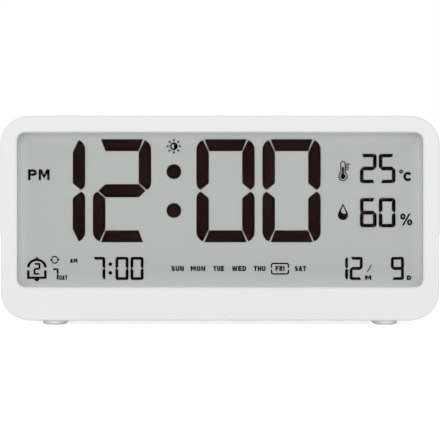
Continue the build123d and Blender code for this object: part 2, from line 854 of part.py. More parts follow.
def time_digits():
    """The large hours and minutes with their colon."""
    width = time_digit_width_share * window_width
    size = (width, time_digit_height_share * window_height, stroke_share * width)
    solids = []
    for lit, left in zip(time_reading, time_digit_left_shares):
        solids += digit(lit, left, time_digit_top_share, *size)
    for drop in time_colon_drop_shares:
        solids += dot(time_colon_x_share, drop, time_colon_radius_share * width)
    return solids


def climate_digits():
    """Temperature above, humidity below."""
    width = climate_digit_width_share * window_width
    size = (width, climate_digit_height_share * window_height, stroke_share * width)
    solids = []
    for reading, top in zip(climate_readings, climate_digit_top_shares):
        for lit, left in zip(reading, climate_digit_left_shares):
            solids += digit(lit, left, top, *size)
    return solids


def small_size():
    """Width, height and stroke of the bottom row's digits."""
    width = small_digit_width_share * window_width
    return width, small_digit_height_share * window_height, fine_stroke_share * width


def tiny_size():
    """Width, height and stroke of the two smallest digits."""
    width = tiny_digit_width_share * window_width
    return width, tiny_digit_height_share * window_height, tiny_stroke_share * width


def alarm_digits():
    """The alarm's time with its colon, its number and its repeat days."""
    solids = []
    for lit, left in zip(alarm_reading, alarm_digit_left_shares):
        solids += digit(lit, left, bottom_row_top_share, *small_size())
    for drop in alarm_colon_drop_shares:
        solids += dot(alarm_colon_x_share, drop, alarm_colon_radius_share * small_size()[0])
    solids += digit(repeat_reading, repeat_digit_left_share, repeat_digit_top_share, *tiny_size())
    solids += digit(cycle_reading, cycle_digit_left_share, cycle_digit_top_share, *tiny_size())
    return solids


def date_digits():
    """Month and day."""
    solids = []
    for lit, left in zip(date_reading, date_digit_left_shares):
        solids += digit(lit, left, bottom_row_top_share, *small_size())
    return solids


# Backlight and display frame

def backlit_plate(y_front, y_rear):
    """A plate behind the glass, short at one side for the LEDs."""
    half = window_width / 2 + sheet_margin
    z_span = (window_bottom - sheet_margin, window_top + sheet_margin)
    return block((backlight_space - half, half), (y_front, y_rear), z_span)


def backlight_side_x():
    """The inner face of the frame's wall that the backlight board lies along."""
    return -frame_pocket_half + backlight_clearance


def backlight_board():
    """A narrow strip on edge beside the light guide."""
    x_span = (backlight_side_x(), backlight_side_x() + backlight_board_thickness)
    depth = (diffuser_back_y + backlight_clearance, light_guide_back_y - backlight_clearance)
    return block(x_span, depth, around(window_mid_z, backlight_board_length))


def backlight_leds():
    """Square white LEDs along the strip."""
    x_low = backlight_side_x() + backlight_board_thickness
    x_high = backlight_space - window_width / 2 - sheet_margin - backlight_clearance
    depth = around((diffuser_back_y + light_guide_back_y) / 2, backlight_led_size)
    pitch = backlight_board_length / backlight_led_count
    leds = []
    for index in range(backlight_led_count):
        z = window_mid_z + (index - (backlight_led_count - 1) / 2) * pitch
        leds += block((x_low, x_high), depth, around(z, backlight_led_length)).solids()
    return leds


def backlight_pin_places():
    """Two pins near the strip's middle that reach back to the main board."""
    x = backlight_side_x() + backlight_board_thickness / 2
    return [(x, window_mid_z + side * backlight_pin_spacing / 2) for side in (-1, 1)]


def backlight_pins():
    """The pins between the strip and the main board."""
    front = light_guide_back_y - backlight_clearance
    pins = [slab(disc(backlight_pin_radius, x, z), front, board_front_y) for x, z in backlight_pin_places()]
    return pins


def standoff_places():
    """Where the main board is screwed to the display frame."""
    x_edge = board_half - standoff_edge_x
    z_edge = (board_top - board_bottom) / 2 - standoff_edge_z
    return [(column * x_edge, board_mid_z + row * z_edge) for row in (-1, 1) for column in (-1, 0, 1)]


def display_frame():
    """A tray round the display with standoffs for the board and three screw ears."""
    outline = rounded(2 * frame_half_width, frame_top - frame_bottom, frame_corner_radius,
                      z=(frame_top + frame_bottom) / 2)
    body = slab(outline, gasket_back_y, frame_back_y)
    pocket = sheet_outline(frame_pocket_half, frame_bottom + frame_wall, frame_top - frame_wall)
    body -= slab(pocket, gasket_back_y - overrun, reflector_back_y)
    for step in (-1, 0, 1):
        x = step * frame_ear_spacing
        ear = (floor_z + frame_ear_floor_gap, frame_bottom + frame_wall)
        body += block(around(x, frame_ear_width), (reflector_back_y, frame_back_y), ear)
        body -= slab(disc(screw_hole_radius, x, boss_z), reflector_back_y - overrun, frame_back_y + overrun)
    for x, z in standoff_places():
        body += slab(disc(standoff_radius, x, z), frame_back_y, board_front_y)
        hole_front = reflector_back_y + standoff_hole_floor
        body -= slab(disc(screw_radius, x, z), hole_front, board_front_y + overrun)
    slot_low, slot_high = zebra_low - zebra_clearance, zebra_high + zebra_clearance
    slot = sheet_outline(zebra_half + zebra_clearance, slot_low, slot_high)
    body -= slab(slot, reflector_back_y - overrun, frame_back_y + overrun)
    for x, z in backlight_pin_places():
        body -= slab(disc(backlight_pin_radius + backlight_pin_room, x, z), reflector_back_y - overrun,
                     frame_back_y + overrun)
    return body


def zebra_strip():
    """The striped rubber contact between the glass ledge and the main board."""
    return slab(sheet_outline(zebra_half, zebra_low, zebra_high), front_glass_back_y, board_front_y)


# Main board

def main_board():
    """The main circuit board behind the display frame."""
    body = slab(sheet_outline(board_half, board_bottom, board_top), board_front_y, board_back_y)
    for x, z in standoff_places():
        body -= slab(disc(screw_hole_radius, x, z), board_front_y - overrun, board_back_y + overrun)
    return body


def display_chip():
    """A bare chip under a round drop of black resin."""
    drop = slab(disc(chip_radius, chip_x, chip_z), board_back_y, board_back_y + chip_height)
    rim = in_plane(drop.edges(), Axis.Y, board_back_y + chip_height)
    return fillet(rim, chip_round)


def watch_crystal():
    """The small metal can that keeps the time."""
    outline = disc(crystal_radius, board_back_y + crystal_radius, chip_z + crystal_lift)
    return bar(outline, *around(chip_x + crystal_offset_x, crystal_length))


def board_capacitors():
    """A row of small chip capacitors."""
    row = []
    depth = (board_back_y, board_back_y + capacitor_size)
    for index in range(capacitor_count):
        x = (index - (capacitor_count - 1) / 2) * capacitor_pitch - chip_x
        row.append(block(around(x, capacitor_size), depth, around(chip_z, capacitor_length)))
    return row


# Snooze key

def snooze_key():
    """The long bar in the top, with a flange below the wall and a pusher over its switch."""
    cap = plate(pill(snooze_length, snooze_width), snooze_flange_top - overrun, top_z - snooze_sink)
    cap = fillet(in_plane(cap.edges(), Axis.Z, top_z - snooze_sink), snooze_edge_round)
    flange = pill(snooze_length + 2 * snooze_flange_margin, snooze_width + 2 * snooze_flange_margin)
    depth = around(snooze_plunger_y, snooze_pusher_depth)
    pusher = block(around(0, snooze_pusher_width), depth, (snooze_tip_z, snooze_flange_top))
    return cap + plate(flange, snooze_flange_low, snooze_flange_top) + pusher


def snooze_plunger():
    """The switch's own plunger, which the key pushes down."""
    low = snooze_switch_top - plunger_hold - plunger_bottom_gap
    return plate(disc(snooze_plunger_radius, 0, snooze_plunger_y), low, snooze_tip_z)


def snooze_switch():
    """A side-acting switch on the main board's upper edge."""
    body = block(around(0, snooze_switch_width), (board_back_y, snooze_switch_back_y),
                 (snooze_switch_low, snooze_switch_top))
    bore = disc(snooze_plunger_radius + plunger_clearance, 0, snooze_plunger_y)
    low = snooze_switch_top - plunger_hold - 2 * plunger_bottom_gap - snooze_travel
    return body - plate(bore, low, snooze_switch_top + overrun)


# Rear keys

def rear_key(x):
    """One key with a flange inside the panel and a stub over its plunger."""
    face = panel_face_y + rear_key_proud
    cap = slab(pill(rear_key_length, rear_key_width, x, key_z), key_flange_front_y, face)
    cap = fillet(in_plane(cap.edges(), Axis.Y, face), rear_key_edge_round)
    margin = 2 * rear_key_flange_margin
    flange = slab(pill(rear_key_length + margin, rear_key_width + margin, x, key_z),
                  key_flange_front_y, key_flange_back_y)
    stub = slab(disc(key_pusher_radius, x, key_z), tact_tip_y, key_flange_front_y)
    return cap + flange + stub


def key_plunger(x):
    """The plunger of one key switch."""
    deep = tact_face_y - plunger_hold
    return slab(disc(tact_plunger_radius, x, key_z), deep, tact_tip_y)


def key_switches():
    """The switch bodies, each with a bore that its plunger slides in."""
    row = []
    for x in key_places:
        body = block(around(x, tact_size), (key_board_back_y, tact_face_y), around(key_z, tact_size))
        deep = tact_face_y - plunger_hold - rear_key_travel - plunger_bottom_gap
        body -= slab(disc(tact_plunger_radius + plunger_clearance, x, key_z), deep, tact_face_y + overrun)
        row += body.solids()
    return row


def key_board():
    """The narrow board behind the keys."""
    outline = Pos(0, key_z) * Rectangle(key_board_width, key_board_height)
    for x in key_posts:
        outline -= disc(screw_hole_radius, x, key_z)
    return slab(outline, key_board_front_y, key_board_back_y)


# Power

def battery_cell(z, direction):
    """One AAA cell whose nub points along +X or -X."""
    half = cell_length / 2
    middle = direction * spring_space / 2
    nub_end, flat_end = middle + direction * half, middle - direction * half
    can_end = nub_end - direction * cell_nub_length
    can = bar(disc(cell_radius, cell_y, z), min(can_end, flat_end), max(can_end, flat_end))
    can = chamfer(can.edges().filter_by(GeomType.CIRCLE), cell_edge_chamfer)
    return can + bar(disc(cell_nub_radius, cell_y, z), *sorted((can_end - direction * overrun, nub_end)))


def cell_directions():
    """Which way each cell's nub points, turned about row by row."""
    return [1 if row % 2 == 0 else -1 for row in range(cell_count)]


def contact_tails():
    """Where the two end plates pass through the bay's floor: the first and the last row."""
    x = bay_half - contact_thickness / 2
    first, last = cell_directions()[0], cell_directions()[-1]
    return [(first * x, cell_rows[0]), (-last * x, cell_rows[-1])]


def battery_contacts():
    """End plates with tails, and the plates that join one row to the next."""
    plates = []
    depth = (bay_floor_top_y + contact_slot_clearance, cell_y + contact_width / 2)
    for x, z in contact_tails():
        tail = (bay_floor_y - contact_tail_reach, bay_floor_top_y + 2 * contact_slot_clearance)
        end = block(around(x, contact_thickness), depth, around(z, contact_width))
        end += block(around(x, contact_thickness), tail, around(z, contact_tail_width))
        plates += end.solids()
    for row, direction in enumerate(cell_directions()[:-1]):
        x = -direction * (bay_half - contact_thickness / 2)
        z_span = (cell_rows[row] - contact_width / 2, cell_rows[row + 1] + contact_width / 2)
        plates += block(around(x, contact_thickness), depth, z_span).solids()
    return plates


def coil(radius, rise, turns):
    """A coil about +Z from the origin's height, in half turns of two arcs that meet smoothly."""
    slope = rise / (2 * math.pi * turns)
    half = math.pi / 2
    reach = slope ** 2 * half
    inner = reach ** 2 + radius ** 2 * (radius ** 2 + (slope * half) ** 2)
    join_radius = (math.sqrt(inner) - reach) / radius
    edges, tangent = [], Vector(0, radius, slope)
    for step in range(2 * turns):
        angle = step * math.pi
        start = Vector(radius * math.cos(angle), radius * math.sin(angle), slope * angle)
        middle = angle + half
        join = Vector(join_radius * math.cos(middle), join_radius * math.sin(middle), slope * middle)
        last = angle + math.pi
        end = Vector(radius * math.cos(last), radius * math.sin(last), slope * last)
        first_arc = Edge.make_tangent_arc(start, tangent, join)
        second_arc = Edge.make_tangent_arc(join, first_arc % 1, end)
        edges += [first_arc, second_arc]
        tangent = second_arc % 1
    return Wire(edges)


def battery_spring(z, direction):
    """The coil that presses on the flat end of one cell."""
    radius = spring_outer_radius - spring_wire / 2
    rise = spring_space - spring_wire - 2 * spring_end_gap
    path = coil(radius, rise, spring_turns)
    wire = sweep(Plane(origin=path @ 0, z_dir=path % 0) * Circle(spring_wire / 2), path=path)
    start_x = -direction * (bay_half - contact_thickness - spring_wire / 2 - spring_end_gap)
    return Plane(origin=(start_x, cell_y, z), z_dir=(direction, 0, 0)) * wire


def print_spring_gap():
    """Measures the least gap between turns on points a turn or more apart."""
    radius = spring_outer_radius - spring_wire / 2
    path = coil(radius, spring_space - spring_wire - 2 * spring_end_gap, spring_turns)
    steps = spring_samples * spring_turns
    points = [path @ (index / steps) for index in range(steps + 1)]
    least = min((a - b).length for i, a in enumerate(points) for b in points[i + spring_samples - 2:])
    print("battery spring: least gap between turns", round(least - spring_wire, 3))


def tongue_front_y():
    """The front face of the door's tongues."""
    return rear_wall_y - door_tongue_gap - door_tongue_thickness


def battery_door():
    """The door with two tongues below, a latch tab above and grip grooves."""
    width, height = door_opening_width - 2 * door_clearance, door_opening_height - 2 * door_clearance
    body = slab(rounded(width, height, door_corner_radius, z=bay_mid_z), door_inner_y, rear_y)
    low = door_opening_low + door_clearance
    root_span = (low + door_clearance, low + door_tongue_root)
    tongue_span = (low - door_tongue_drop, low + door_tongue_root)
    for side in (-1, 1):
        x_span = around(side * door_tongue_spacing / 2, door_tongue_width)
        body += block(x_span, (tongue_front_y(), rear_wall_y - door_tongue_gap), tongue_span)
        body += block(x_span, (tongue_front_y(), door_inner_y + door_clearance), root_span)
    high = door_opening_high - door_clearance
    latch = (high - overrun, high + door_latch_reach)
    body += block(around(0, door_latch_width), (door_inner_y, rear_y - scoop_depth), latch)
    for index in range(door_grip_count):
        z = high - door_grip_drop - index * door_grip_pitch
        groove = pill(door_grip_length, door_grip_width, z=z)
        body -= slab(groove, rear_y - door_grip_depth, rear_y + overrun)
    return body


# Sounder and sensors

def sounder():
    """A flat round sounder behind its holes."""
    can = slab(disc(sounder_radius, sounder_x, sounder_z), sounder_front_y, rear_wall_y)
    mouth = disc(sounder_hole_ring + sounder_hole_radius, sounder_x, sounder_z)
    return can - slab(mouth, rear_wall_y - sounder_mouth_depth, rear_wall_y + overrun)


def sensor_board():
    """The small board behind the vents."""
    outline = Pos(sensor_x, sensor_z) * Rectangle(sensor_board_width, sensor_board_height)
    body = slab(outline, sensor_board_front_y, sensor_board_back_y)
    for z in sensor_posts:
        hole = disc(screw_hole_radius, sensor_x, z)
        body -= slab(hole, sensor_board_front_y - overrun, sensor_board_back_y + overrun)
    return body


def humidity_sensor():
    """A square sensor with a round mouth towards the vents."""
    x = sensor_x + humidity_sensor_offset_x
    depth = (sensor_board_back_y, sensor_board_back_y + humidity_sensor_height)
    body = block(around(x, humidity_sensor_size), depth, around(sensor_z, humidity_sensor_size))
    return body - slab(disc(humidity_sensor_hole, x, sensor_z), sum(depth) / 2, depth[1] + overrun)


def thermistor():
    """A bead on two short legs."""
    x = sensor_x + thermistor_offset_x
    y = sensor_board_back_y + thermistor_leg_length + thermistor_radius
    bead = bar(disc(thermistor_radius, y, sensor_z), *around(x, thermistor_length))
    bead = fillet(bead.edges().filter_by(GeomType.CIRCLE), thermistor_radius / 2)
    for side in (-1, 1):
        leg = disc(thermistor_leg_radius, x + side * thermistor_length / 4, sensor_z)
        bead += slab(leg, sensor_board_back_y, y)
    return bead


# Leads

def battery_lead(tail):
    """A lead from one contact tail, outwards and back into the main board."""
    x, z = tail
    outward = 1 if x > 0 else -1
    start_x = x + outward * contact_thickness / 2
    y = bay_floor_y - contact_tail_reach + battery_lead_diameter
    end_x = start_x + outward * battery_lead_run
    return tube([(start_x, y, z), (end_x, y, z), (end_x, board_back_y, z)], battery_lead_diameter)


def sounder_leads():
    """Two leads from the sounder's face, up and back to the main board."""
    leads = []
    mid_y = (sounder_front_y + board_back_y) / 2
    for side in (-1, 1):
        x = sounder_x - sounder_lead_inset + side * fine_lead_pitch / 2
        high = sounder_z + sounder_lead_rise
        route = [(sounder_front_y, sounder_z), (mid_y, sounder_z), (mid_y, high), (board_back_y, high)]
        leads.append(tube([(x, y, z) for y, z in route], fine_lead_diameter))
    return leads


def sensor_leads():
    """Four leads from the sensor board to the main board."""
    leads = []
    mid_y = (sensor_board_front_y + board_back_y) / 2
    low = sensor_z - sensor_lead_drop
    high = low + sensor_lead_rise
    for index in range(sensor_lead_count):
        x = sensor_x + (index - (sensor_lead_count - 1) / 2) * fine_lead_pitch
        route = [(sensor_board_front_y, low), (mid_y, low), (mid_y, high), (board_back_y, high)]
        leads.append(tube([(x, y, z) for y, z in route], fine_lead_diameter))
    return leads


def key_ribbon():
    """The flat ribbon from the key board down to the main board."""
    mid_y = (key_board_front_y + board_back_y) / 2
    low = key_z - ribbon_drop
    points = [(key_board_front_y, key_z), (mid_y, key_z), (mid_y, low), (board_back_y, low)]
    bend = lead_corner_share * (key_board_front_y - mid_y)
    centre = FilletPolyline(*points, radius=bend)
    return bar(trace(centre, ribbon_thickness), *around(ribbon_offset_x, ribbon_width))


os.makedirs("parts", exist_ok=True)

write_node("front_housing", front_housing())
write_node("rear_cover", rear_cover())
write_node("rubber_feet", *[rubber_foot(x, y) for x, y in foot_places])
write_node("case_screws", *[case_screw(side) for side in (-1, 1)])

write_node("display_lens", display_lens())
write_node("dust_gasket", dust_gasket())
write_node("front_polariser", sheet(gasket_back_y, front_polariser_back_y, sheet_margin))
write_node("front_glass", front_glass())
write_node("edge_seal", edge_seal())
write_node("time_digits", *time_digits())
write_node("climate_digits", *climate_digits())
write_node("alarm_digits", *alarm_digits())
write_node("date_digits", *date_digits())
write_node("rear_glass", sheet(rear_glass_y, rear_glass_back_y, glass_margin))
write_node("rear_polariser", sheet(rear_glass_back_y, rear_polariser_back_y, sheet_margin))
write_node("diffuser_sheet", sheet(rear_polariser_back_y, diffuser_back_y, sheet_margin))
write_node("light_guide", backlit_plate(diffuser_back_y, light_guide_back_y))
write_node("reflector_sheet", backlit_plate(light_guide_back_y, reflector_back_y))
write_node("backlight_board", backlight_board())
write_node("backlight_leds", *backlight_leds())
write_node("backlight_pins", *backlight_pins())
write_node("display_frame", display_frame())
write_node("zebra_strip", zebra_strip())

frame_screw_seats = [(step * frame_ear_spacing, frame_back_y, boss_z) for step in (-1, 0, 1)]
frame_screw_length = frame_back + frame_screw_bite
write_node("frame_screws", *[screw(seat, (0, 1, 0), frame_screw_length) for seat in frame_screw_seats])
write_node("main_board", main_board())
board_screw_length = board_thickness + standoff_height
board_screw_seats = [(x, board_back_y, z) for x, z in standoff_places()]
write_node("board_screws", *[screw(seat, (0, 1, 0), board_screw_length) for seat in board_screw_seats])
write_node("display_chip", display_chip())
write_node("watch_crystal", watch_crystal())
write_node("board_capacitors", *board_capacitors())

write_node("snooze_key", snooze_key())
write_node("snooze_plunger", snooze_plunger())
write_node("snooze_switch", snooze_switch())

key_names = ("mode", "up", "down", "alarm", "unit")
for key_name, key_x in zip(key_names, key_places):
    write_node(f"{key_name}_key", rear_key(key_x))
    write_node(f"{key_name}_plunger", key_plunger(key_x))
write_node("key_switches", *key_switches())
write_node("key_board", key_board())
write_node("key_ribbon", key_ribbon())
key_screw_length = board_thickness + tact_height
rear_screws = [screw((x, key_board_front_y, key_z), (0, -1, 0), key_screw_length) for x in key_posts]
sensor_screw_length = sensor_board_thickness + sensor_screw_bite
rear_screws += [
    screw((sensor_x, sensor_board_front_y, z), (0, -1, 0), sensor_screw_length) for z in sensor_posts
]
write_node("rear_board_screws", *rear_screws)

write_node("battery_door", battery_door())
cells = list(zip(cell_rows, cell_directions()))
write_node("battery_cells", *[battery_cell(z, direction) for z, direction in cells])
write_node("battery_springs", *[battery_spring(z, direction) for z, direction in cells])
print_spring_gap()
write_node("battery_contacts", *battery_contacts())
write_node("positive_lead", battery_lead(contact_tails()[0]))
write_node("negative_lead", battery_lead(contact_tails()[1]))

write_node("sounder", sounder())
write_node("sounder_leads", *sounder_leads())
write_node("sensor_board", sensor_board())
write_node("humidity_sensor", humidity_sensor())
write_node("thermistor", thermistor())
write_node("sensor_leads", *sensor_leads())
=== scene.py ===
"""Dresses the desk clock with thermometer and hygrometer, in metres, in the frame of its CAD model."""

import sys
import logging
import math
from dataclasses import dataclass, field
from enum import Enum

import bpy
from mathutils import Matrix, Vector


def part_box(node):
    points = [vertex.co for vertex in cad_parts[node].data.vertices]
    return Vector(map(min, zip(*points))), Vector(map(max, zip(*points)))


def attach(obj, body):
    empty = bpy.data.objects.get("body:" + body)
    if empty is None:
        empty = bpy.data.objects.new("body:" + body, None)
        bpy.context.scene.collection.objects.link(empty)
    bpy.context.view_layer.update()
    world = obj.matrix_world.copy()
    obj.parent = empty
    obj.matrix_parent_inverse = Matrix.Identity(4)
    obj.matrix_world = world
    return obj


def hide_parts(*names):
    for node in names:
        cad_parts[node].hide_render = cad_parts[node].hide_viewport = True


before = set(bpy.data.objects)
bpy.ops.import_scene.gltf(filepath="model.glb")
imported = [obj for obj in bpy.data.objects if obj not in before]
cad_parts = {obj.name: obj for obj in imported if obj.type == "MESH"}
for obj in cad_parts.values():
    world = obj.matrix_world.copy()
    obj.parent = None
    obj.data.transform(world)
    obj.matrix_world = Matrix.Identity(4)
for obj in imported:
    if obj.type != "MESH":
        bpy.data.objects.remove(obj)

MM = 0.001
CASE_BODY = "case"
WHITE = (1.0, 1.0, 1.0, 1.0)

# Points of a mesh that are nearer to each other than this are one point.
MERGE_DISTANCE = 0.002 * MM

# Neighbouring triangles of a CAD mesh that turn by less than this are one flat face.
FLAT_DEGREES = 0.3

# A face looks straight along an axis where its normal reaches this share of it.
STRAIGHT = 0.99

# The number of points round a symbol's circle, and round a letter's.
CIRCLE_POINTS = 40
LETTER_POINTS = 24

# The width of the letters that aren't as wide as the others, as a share of a usual letter's.
LETTER_WIDTHS = {"I": 0.38, "M": 1.25, "W": 1.45, "/": 0.6}

# The widest stroke as a share of a letter's width, past which the strokes would run together.
WIDEST_STROKE = 0.4

Point = tuple[float, float]
Loop = list[Point]

log = logging.getLogger("clock")


class Side(Enum):
    """Which way a flat mark looks."""

    FRONT = -1
    REAR = 1


# Helpers


def linear(code: str) -> tuple[float, float, float, float]:
    """Turns an sRGB hex value into a linear colour.

    Args:
        code: Six hex digits, such as "EBEBEC".

    Returns:
        Red, green, blue and an alpha of one.
    """
    channels = [int(code[start:start + 2], 16) / 255 for start in (0, 2, 4)]
    red, green, blue = (c / 12.92 if c <= 0.04045 else ((c + 0.055) / 1.055) ** 2.4 for c in channels)
    return red, green, blue, 1.0


def add_node(
    tree: bpy.types.NodeTree, kind: str, settings: dict[str, object] | None = None,
    inputs: dict[str | int, object] | None = None,
) -> bpy.types.Node:
    """Adds a node with its settings, its fixed inputs and its links.

    Args:
        tree: The node tree that it goes in.
        kind: The node's type name.
        settings: Values for the node's own properties.
        inputs: A value, or a socket to link from, for each input by name or number.

    Returns:
        The new node.
    """
    node = tree.nodes.new(kind)
    for name, value in (settings or {}).items():
        setattr(node, name, value)
    for key, value in (inputs or {}).items():
        if isinstance(value, bpy.types.NodeSocket):
            tree.links.new(value, node.inputs[key])
        else:
            node.inputs[key].default_value = value
    return node


def select_only(piece: bpy.types.Object) -> None:
    """Selects one object and makes it the active one.

    Args:
        piece: The object.
    """
    bpy.ops.object.select_all(action="DESELECT")
    piece.select_set(True)
    bpy.context.view_layer.objects.active = piece


def close_and_face_out(piece: bpy.types.Object) -> None:
    """Merges a piece's doubled points and turns its faces outwards.

    Args:
        piece: The object, in object mode.
    """
    select_only(piece)
    bpy.ops.object.mode_set(mode="EDIT")
    bpy.ops.mesh.select_all(action="SELECT")
    bpy.ops.mesh.remove_doubles(threshold=MERGE_DISTANCE)
    bpy.ops.mesh.normals_make_consistent(inside=False)
    bpy.ops.object.mode_set(mode="OBJECT")


def smooth_shade(piece: bpy.types.Object, degrees: float = 30.0) -> None:
    """Smooths the rounded faces of a piece and keeps its flat faces flat.

    Args:
        piece: The object, in object mode.
        degrees: The angle from which an edge stays sharp.
    """
    select_only(piece)
    bpy.ops.object.shade_smooth_by_angle(angle=math.radians(degrees))
    even = piece.modifiers.new("even faces", "WEIGHTED_NORMAL")
    even.keep_sharp = True
    bpy.ops.object.modifier_apply(modifier=even.name)


def smoothed_copy(node: str, name: str, body: str) -> bpy.types.Object:
    """Makes a smooth-shaded copy of a CAD node, which then stands for it.

    Args:
        node: The CAD node.
        name: The copy's name.
        body: The body that it moves with.

    Returns:
        The copy.
    """
    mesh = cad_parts[node].data.copy()
    mesh.name = name
    piece = bpy.data.objects.new(name, mesh)
    bpy.context.scene.collection.objects.link(piece)
    select_only(piece)
    bpy.ops.object.mode_set(mode="EDIT")
    bpy.ops.mesh.select_all(action="SELECT")
    bpy.ops.mesh.remove_doubles(threshold=MERGE_DISTANCE)
    bpy.ops.mesh.dissolve_limited(angle_limit=math.radians(FLAT_DEGREES))
    bpy.ops.object.mode_set(mode="OBJECT")
    smooth_shade(piece)
    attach(piece, body)
    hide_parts(node)
    return piece


def dress(piece: bpy.types.Object, *materials: bpy.types.Material) -> None:
    """Gives a piece its materials in order, in place of any that it has.

    Args:
        piece: The object.
        materials: The materials.
    """
    piece.data.materials.clear()
    for material in materials:
        piece.data.materials.append(material)


def stand_up(piece: bpy.types.Object, side: Side, y_near: float, y_far: float) -> None:
    """Stands a flat drawing in millimetres up in metres, facing front or rear.

    Args:
        piece: The mesh, drawn in X and Y with its thickness in Z.
        side: The way that its upper face looks.
        y_near: The depth of its upper face, in millimetres.
        y_far: The depth of its lower face, in millimetres.
    """
    heights = [vertex.co.z for vertex in piece.data.vertices]
    low, high = min(heights), max(heights)
    for vertex in piece.data.vertices:
        share = (high - vertex.co.z) / (high - low)
        depth = y_near + share * (y_far - y_near)
        vertex.co = Vector((-side.value * vertex.co.x, depth, vertex.co.y)) * MM


# Flat drawings, in millimetres


def arc(x: float, z: float, radius: float, start: float, stop: float, steps: int = 24) -> Loop:
    """Points along an arc.

    Args:
        x: The centre's place across.
        z: The centre's height.
        radius: The arc's radius.
        start: The first angle in degrees, from +X towards +Z.
        stop: The last angle in degrees.
        steps: The number of chords.

    Returns:
        The points from the first angle to the last.
    """
    angles = [math.radians(start + (stop - start) * step / steps) for step in range(steps + 1)]
    return [(x + radius * math.cos(angle), z + radius * math.sin(angle)) for angle in angles]


def ring(x: float, z: float, outer: float, inner: float, start: float, stop: float) -> Loop:
    """The outline of a curved band.

    Args:
        x: The centre's place across.
        z: The centre's height.
        outer: The outer radius.
        inner: The inner radius.
        start: The first angle in degrees.
        stop: The last angle in degrees.

    Returns:
        One closed loop.
    """
    return arc(x, z, outer, start, stop) + arc(x, z, inner, stop, start)


def full_circle(x: float, z: float, radius: float) -> Loop:
    """A whole circle as one closed loop."""
    return arc(x, z, radius, 0, 360 - 360 / CIRCLE_POINTS, CIRCLE_POINTS - 1)


def oblong(left: float, right: float, low: float, high: float) -> Loop:
    """A plain rectangle as one closed loop."""
    return [(left, low), (right, low), (right, high), (left, high)]


def mirrored(x: float, half: Loop) -> Loop:
    """One side of a symmetric outline, followed by the other in reverse.

    Args:
        x: The place of the middle.
        half: One side's points, from the middle, where one that lies on the middle isn't given twice.

    Returns:
        The points of both sides.
    """
    return [(x + out, z) for out, z in half] + [(x - out, z) for out, z in half[::-1] if out]


def flat_piece(name: str, loops: list[Loop], side: Side, y_near: float, y_far: float) -> bpy.types.Object:
    """Makes a thin solid from closed loops, where a loop inside another is a hole.

    The curve's own thickness is only a start: standing it up gives the solid its depth.

    Args:
        name: The piece's name.
        loops: Closed outlines in millimetres, in X and Z.
        side: The way that its face looks.
        y_near: The depth of that face, in millimetres.
        y_far: The depth of the other face, in millimetres.

    Returns:
        The standing mesh, in metres.
    """
    curve = bpy.data.curves.new(name, "CURVE")
    curve.dimensions, curve.fill_mode, curve.extrude = "2D", "BOTH", 0.5
    for loop in loops:
        spline = curve.splines.new("POLY")
        spline.points.add(len(loop) - 1)
        for point, (x, z) in zip(spline.points, loop):
            point.co = (x if side is Side.FRONT else -x, z, 0, 1)
        spline.use_cyclic_u = True
    piece = bpy.data.objects.new(name, curve)
    bpy.context.scene.collection.objects.link(piece)
    select_only(piece)
    bpy.ops.object.convert(target="MESH")
    piece = bpy.context.view_layer.objects.active
    stand_up(piece, side, y_near, y_far)
    close_and_face_out(piece)
    return piece


def bow(x: float, z: float, across: float, up: float, start: float, stop: float, steps: int = 10) -> Loop:
    """Points along an arc of an ellipse.

    Args:
        x: The centre's place across.
        z: The centre's height.
        across: The radius across.
        up: The radius upwards.
        start: The first angle in degrees.
        stop: The last angle in degrees.
        steps: The number of chords.

    Returns:
        The points from the first angle to the last.
    """
    return [(x + across * px, z + up * pz) for px, pz in arc(0, 0, 1, start, stop, steps)]


def band(line: Loop, across: float, up: float) -> Loop:
    """The outline of a stroke that follows an open line.

    Args:
        line: The points of its middle.
        across: The width of an upright stroke.
        up: The height of a level stroke.

    Returns:
        One closed loop.
    """
    outer, inner = [], []
    for index, (x, z) in enumerate(line):
        before, after = line[max(index - 1, 0)], line[min(index + 1, len(line) - 1)]
        along = Vector((after[0] - before[0], after[1] - before[1])).normalized()
        shift = Vector((-along.y * across / 2, along.x * up / 2))
        outer.append((x + shift.x, z + shift.y))
        inner.append((x - shift.x, z - shift.y))
    return outer + inner[::-1]


def hoop(x: float, z: float, across: float, up: float, pen: float, bar: float) -> list[Loop]:
    """The outer and the inner outline of a round stroke."""
    last, steps = 360 - 360 / LETTER_POINTS, LETTER_POINTS - 1
    return [bow(x, z, across, up, 0, last, steps), bow(x, z, across - pen, up - bar, 0, last, steps)]


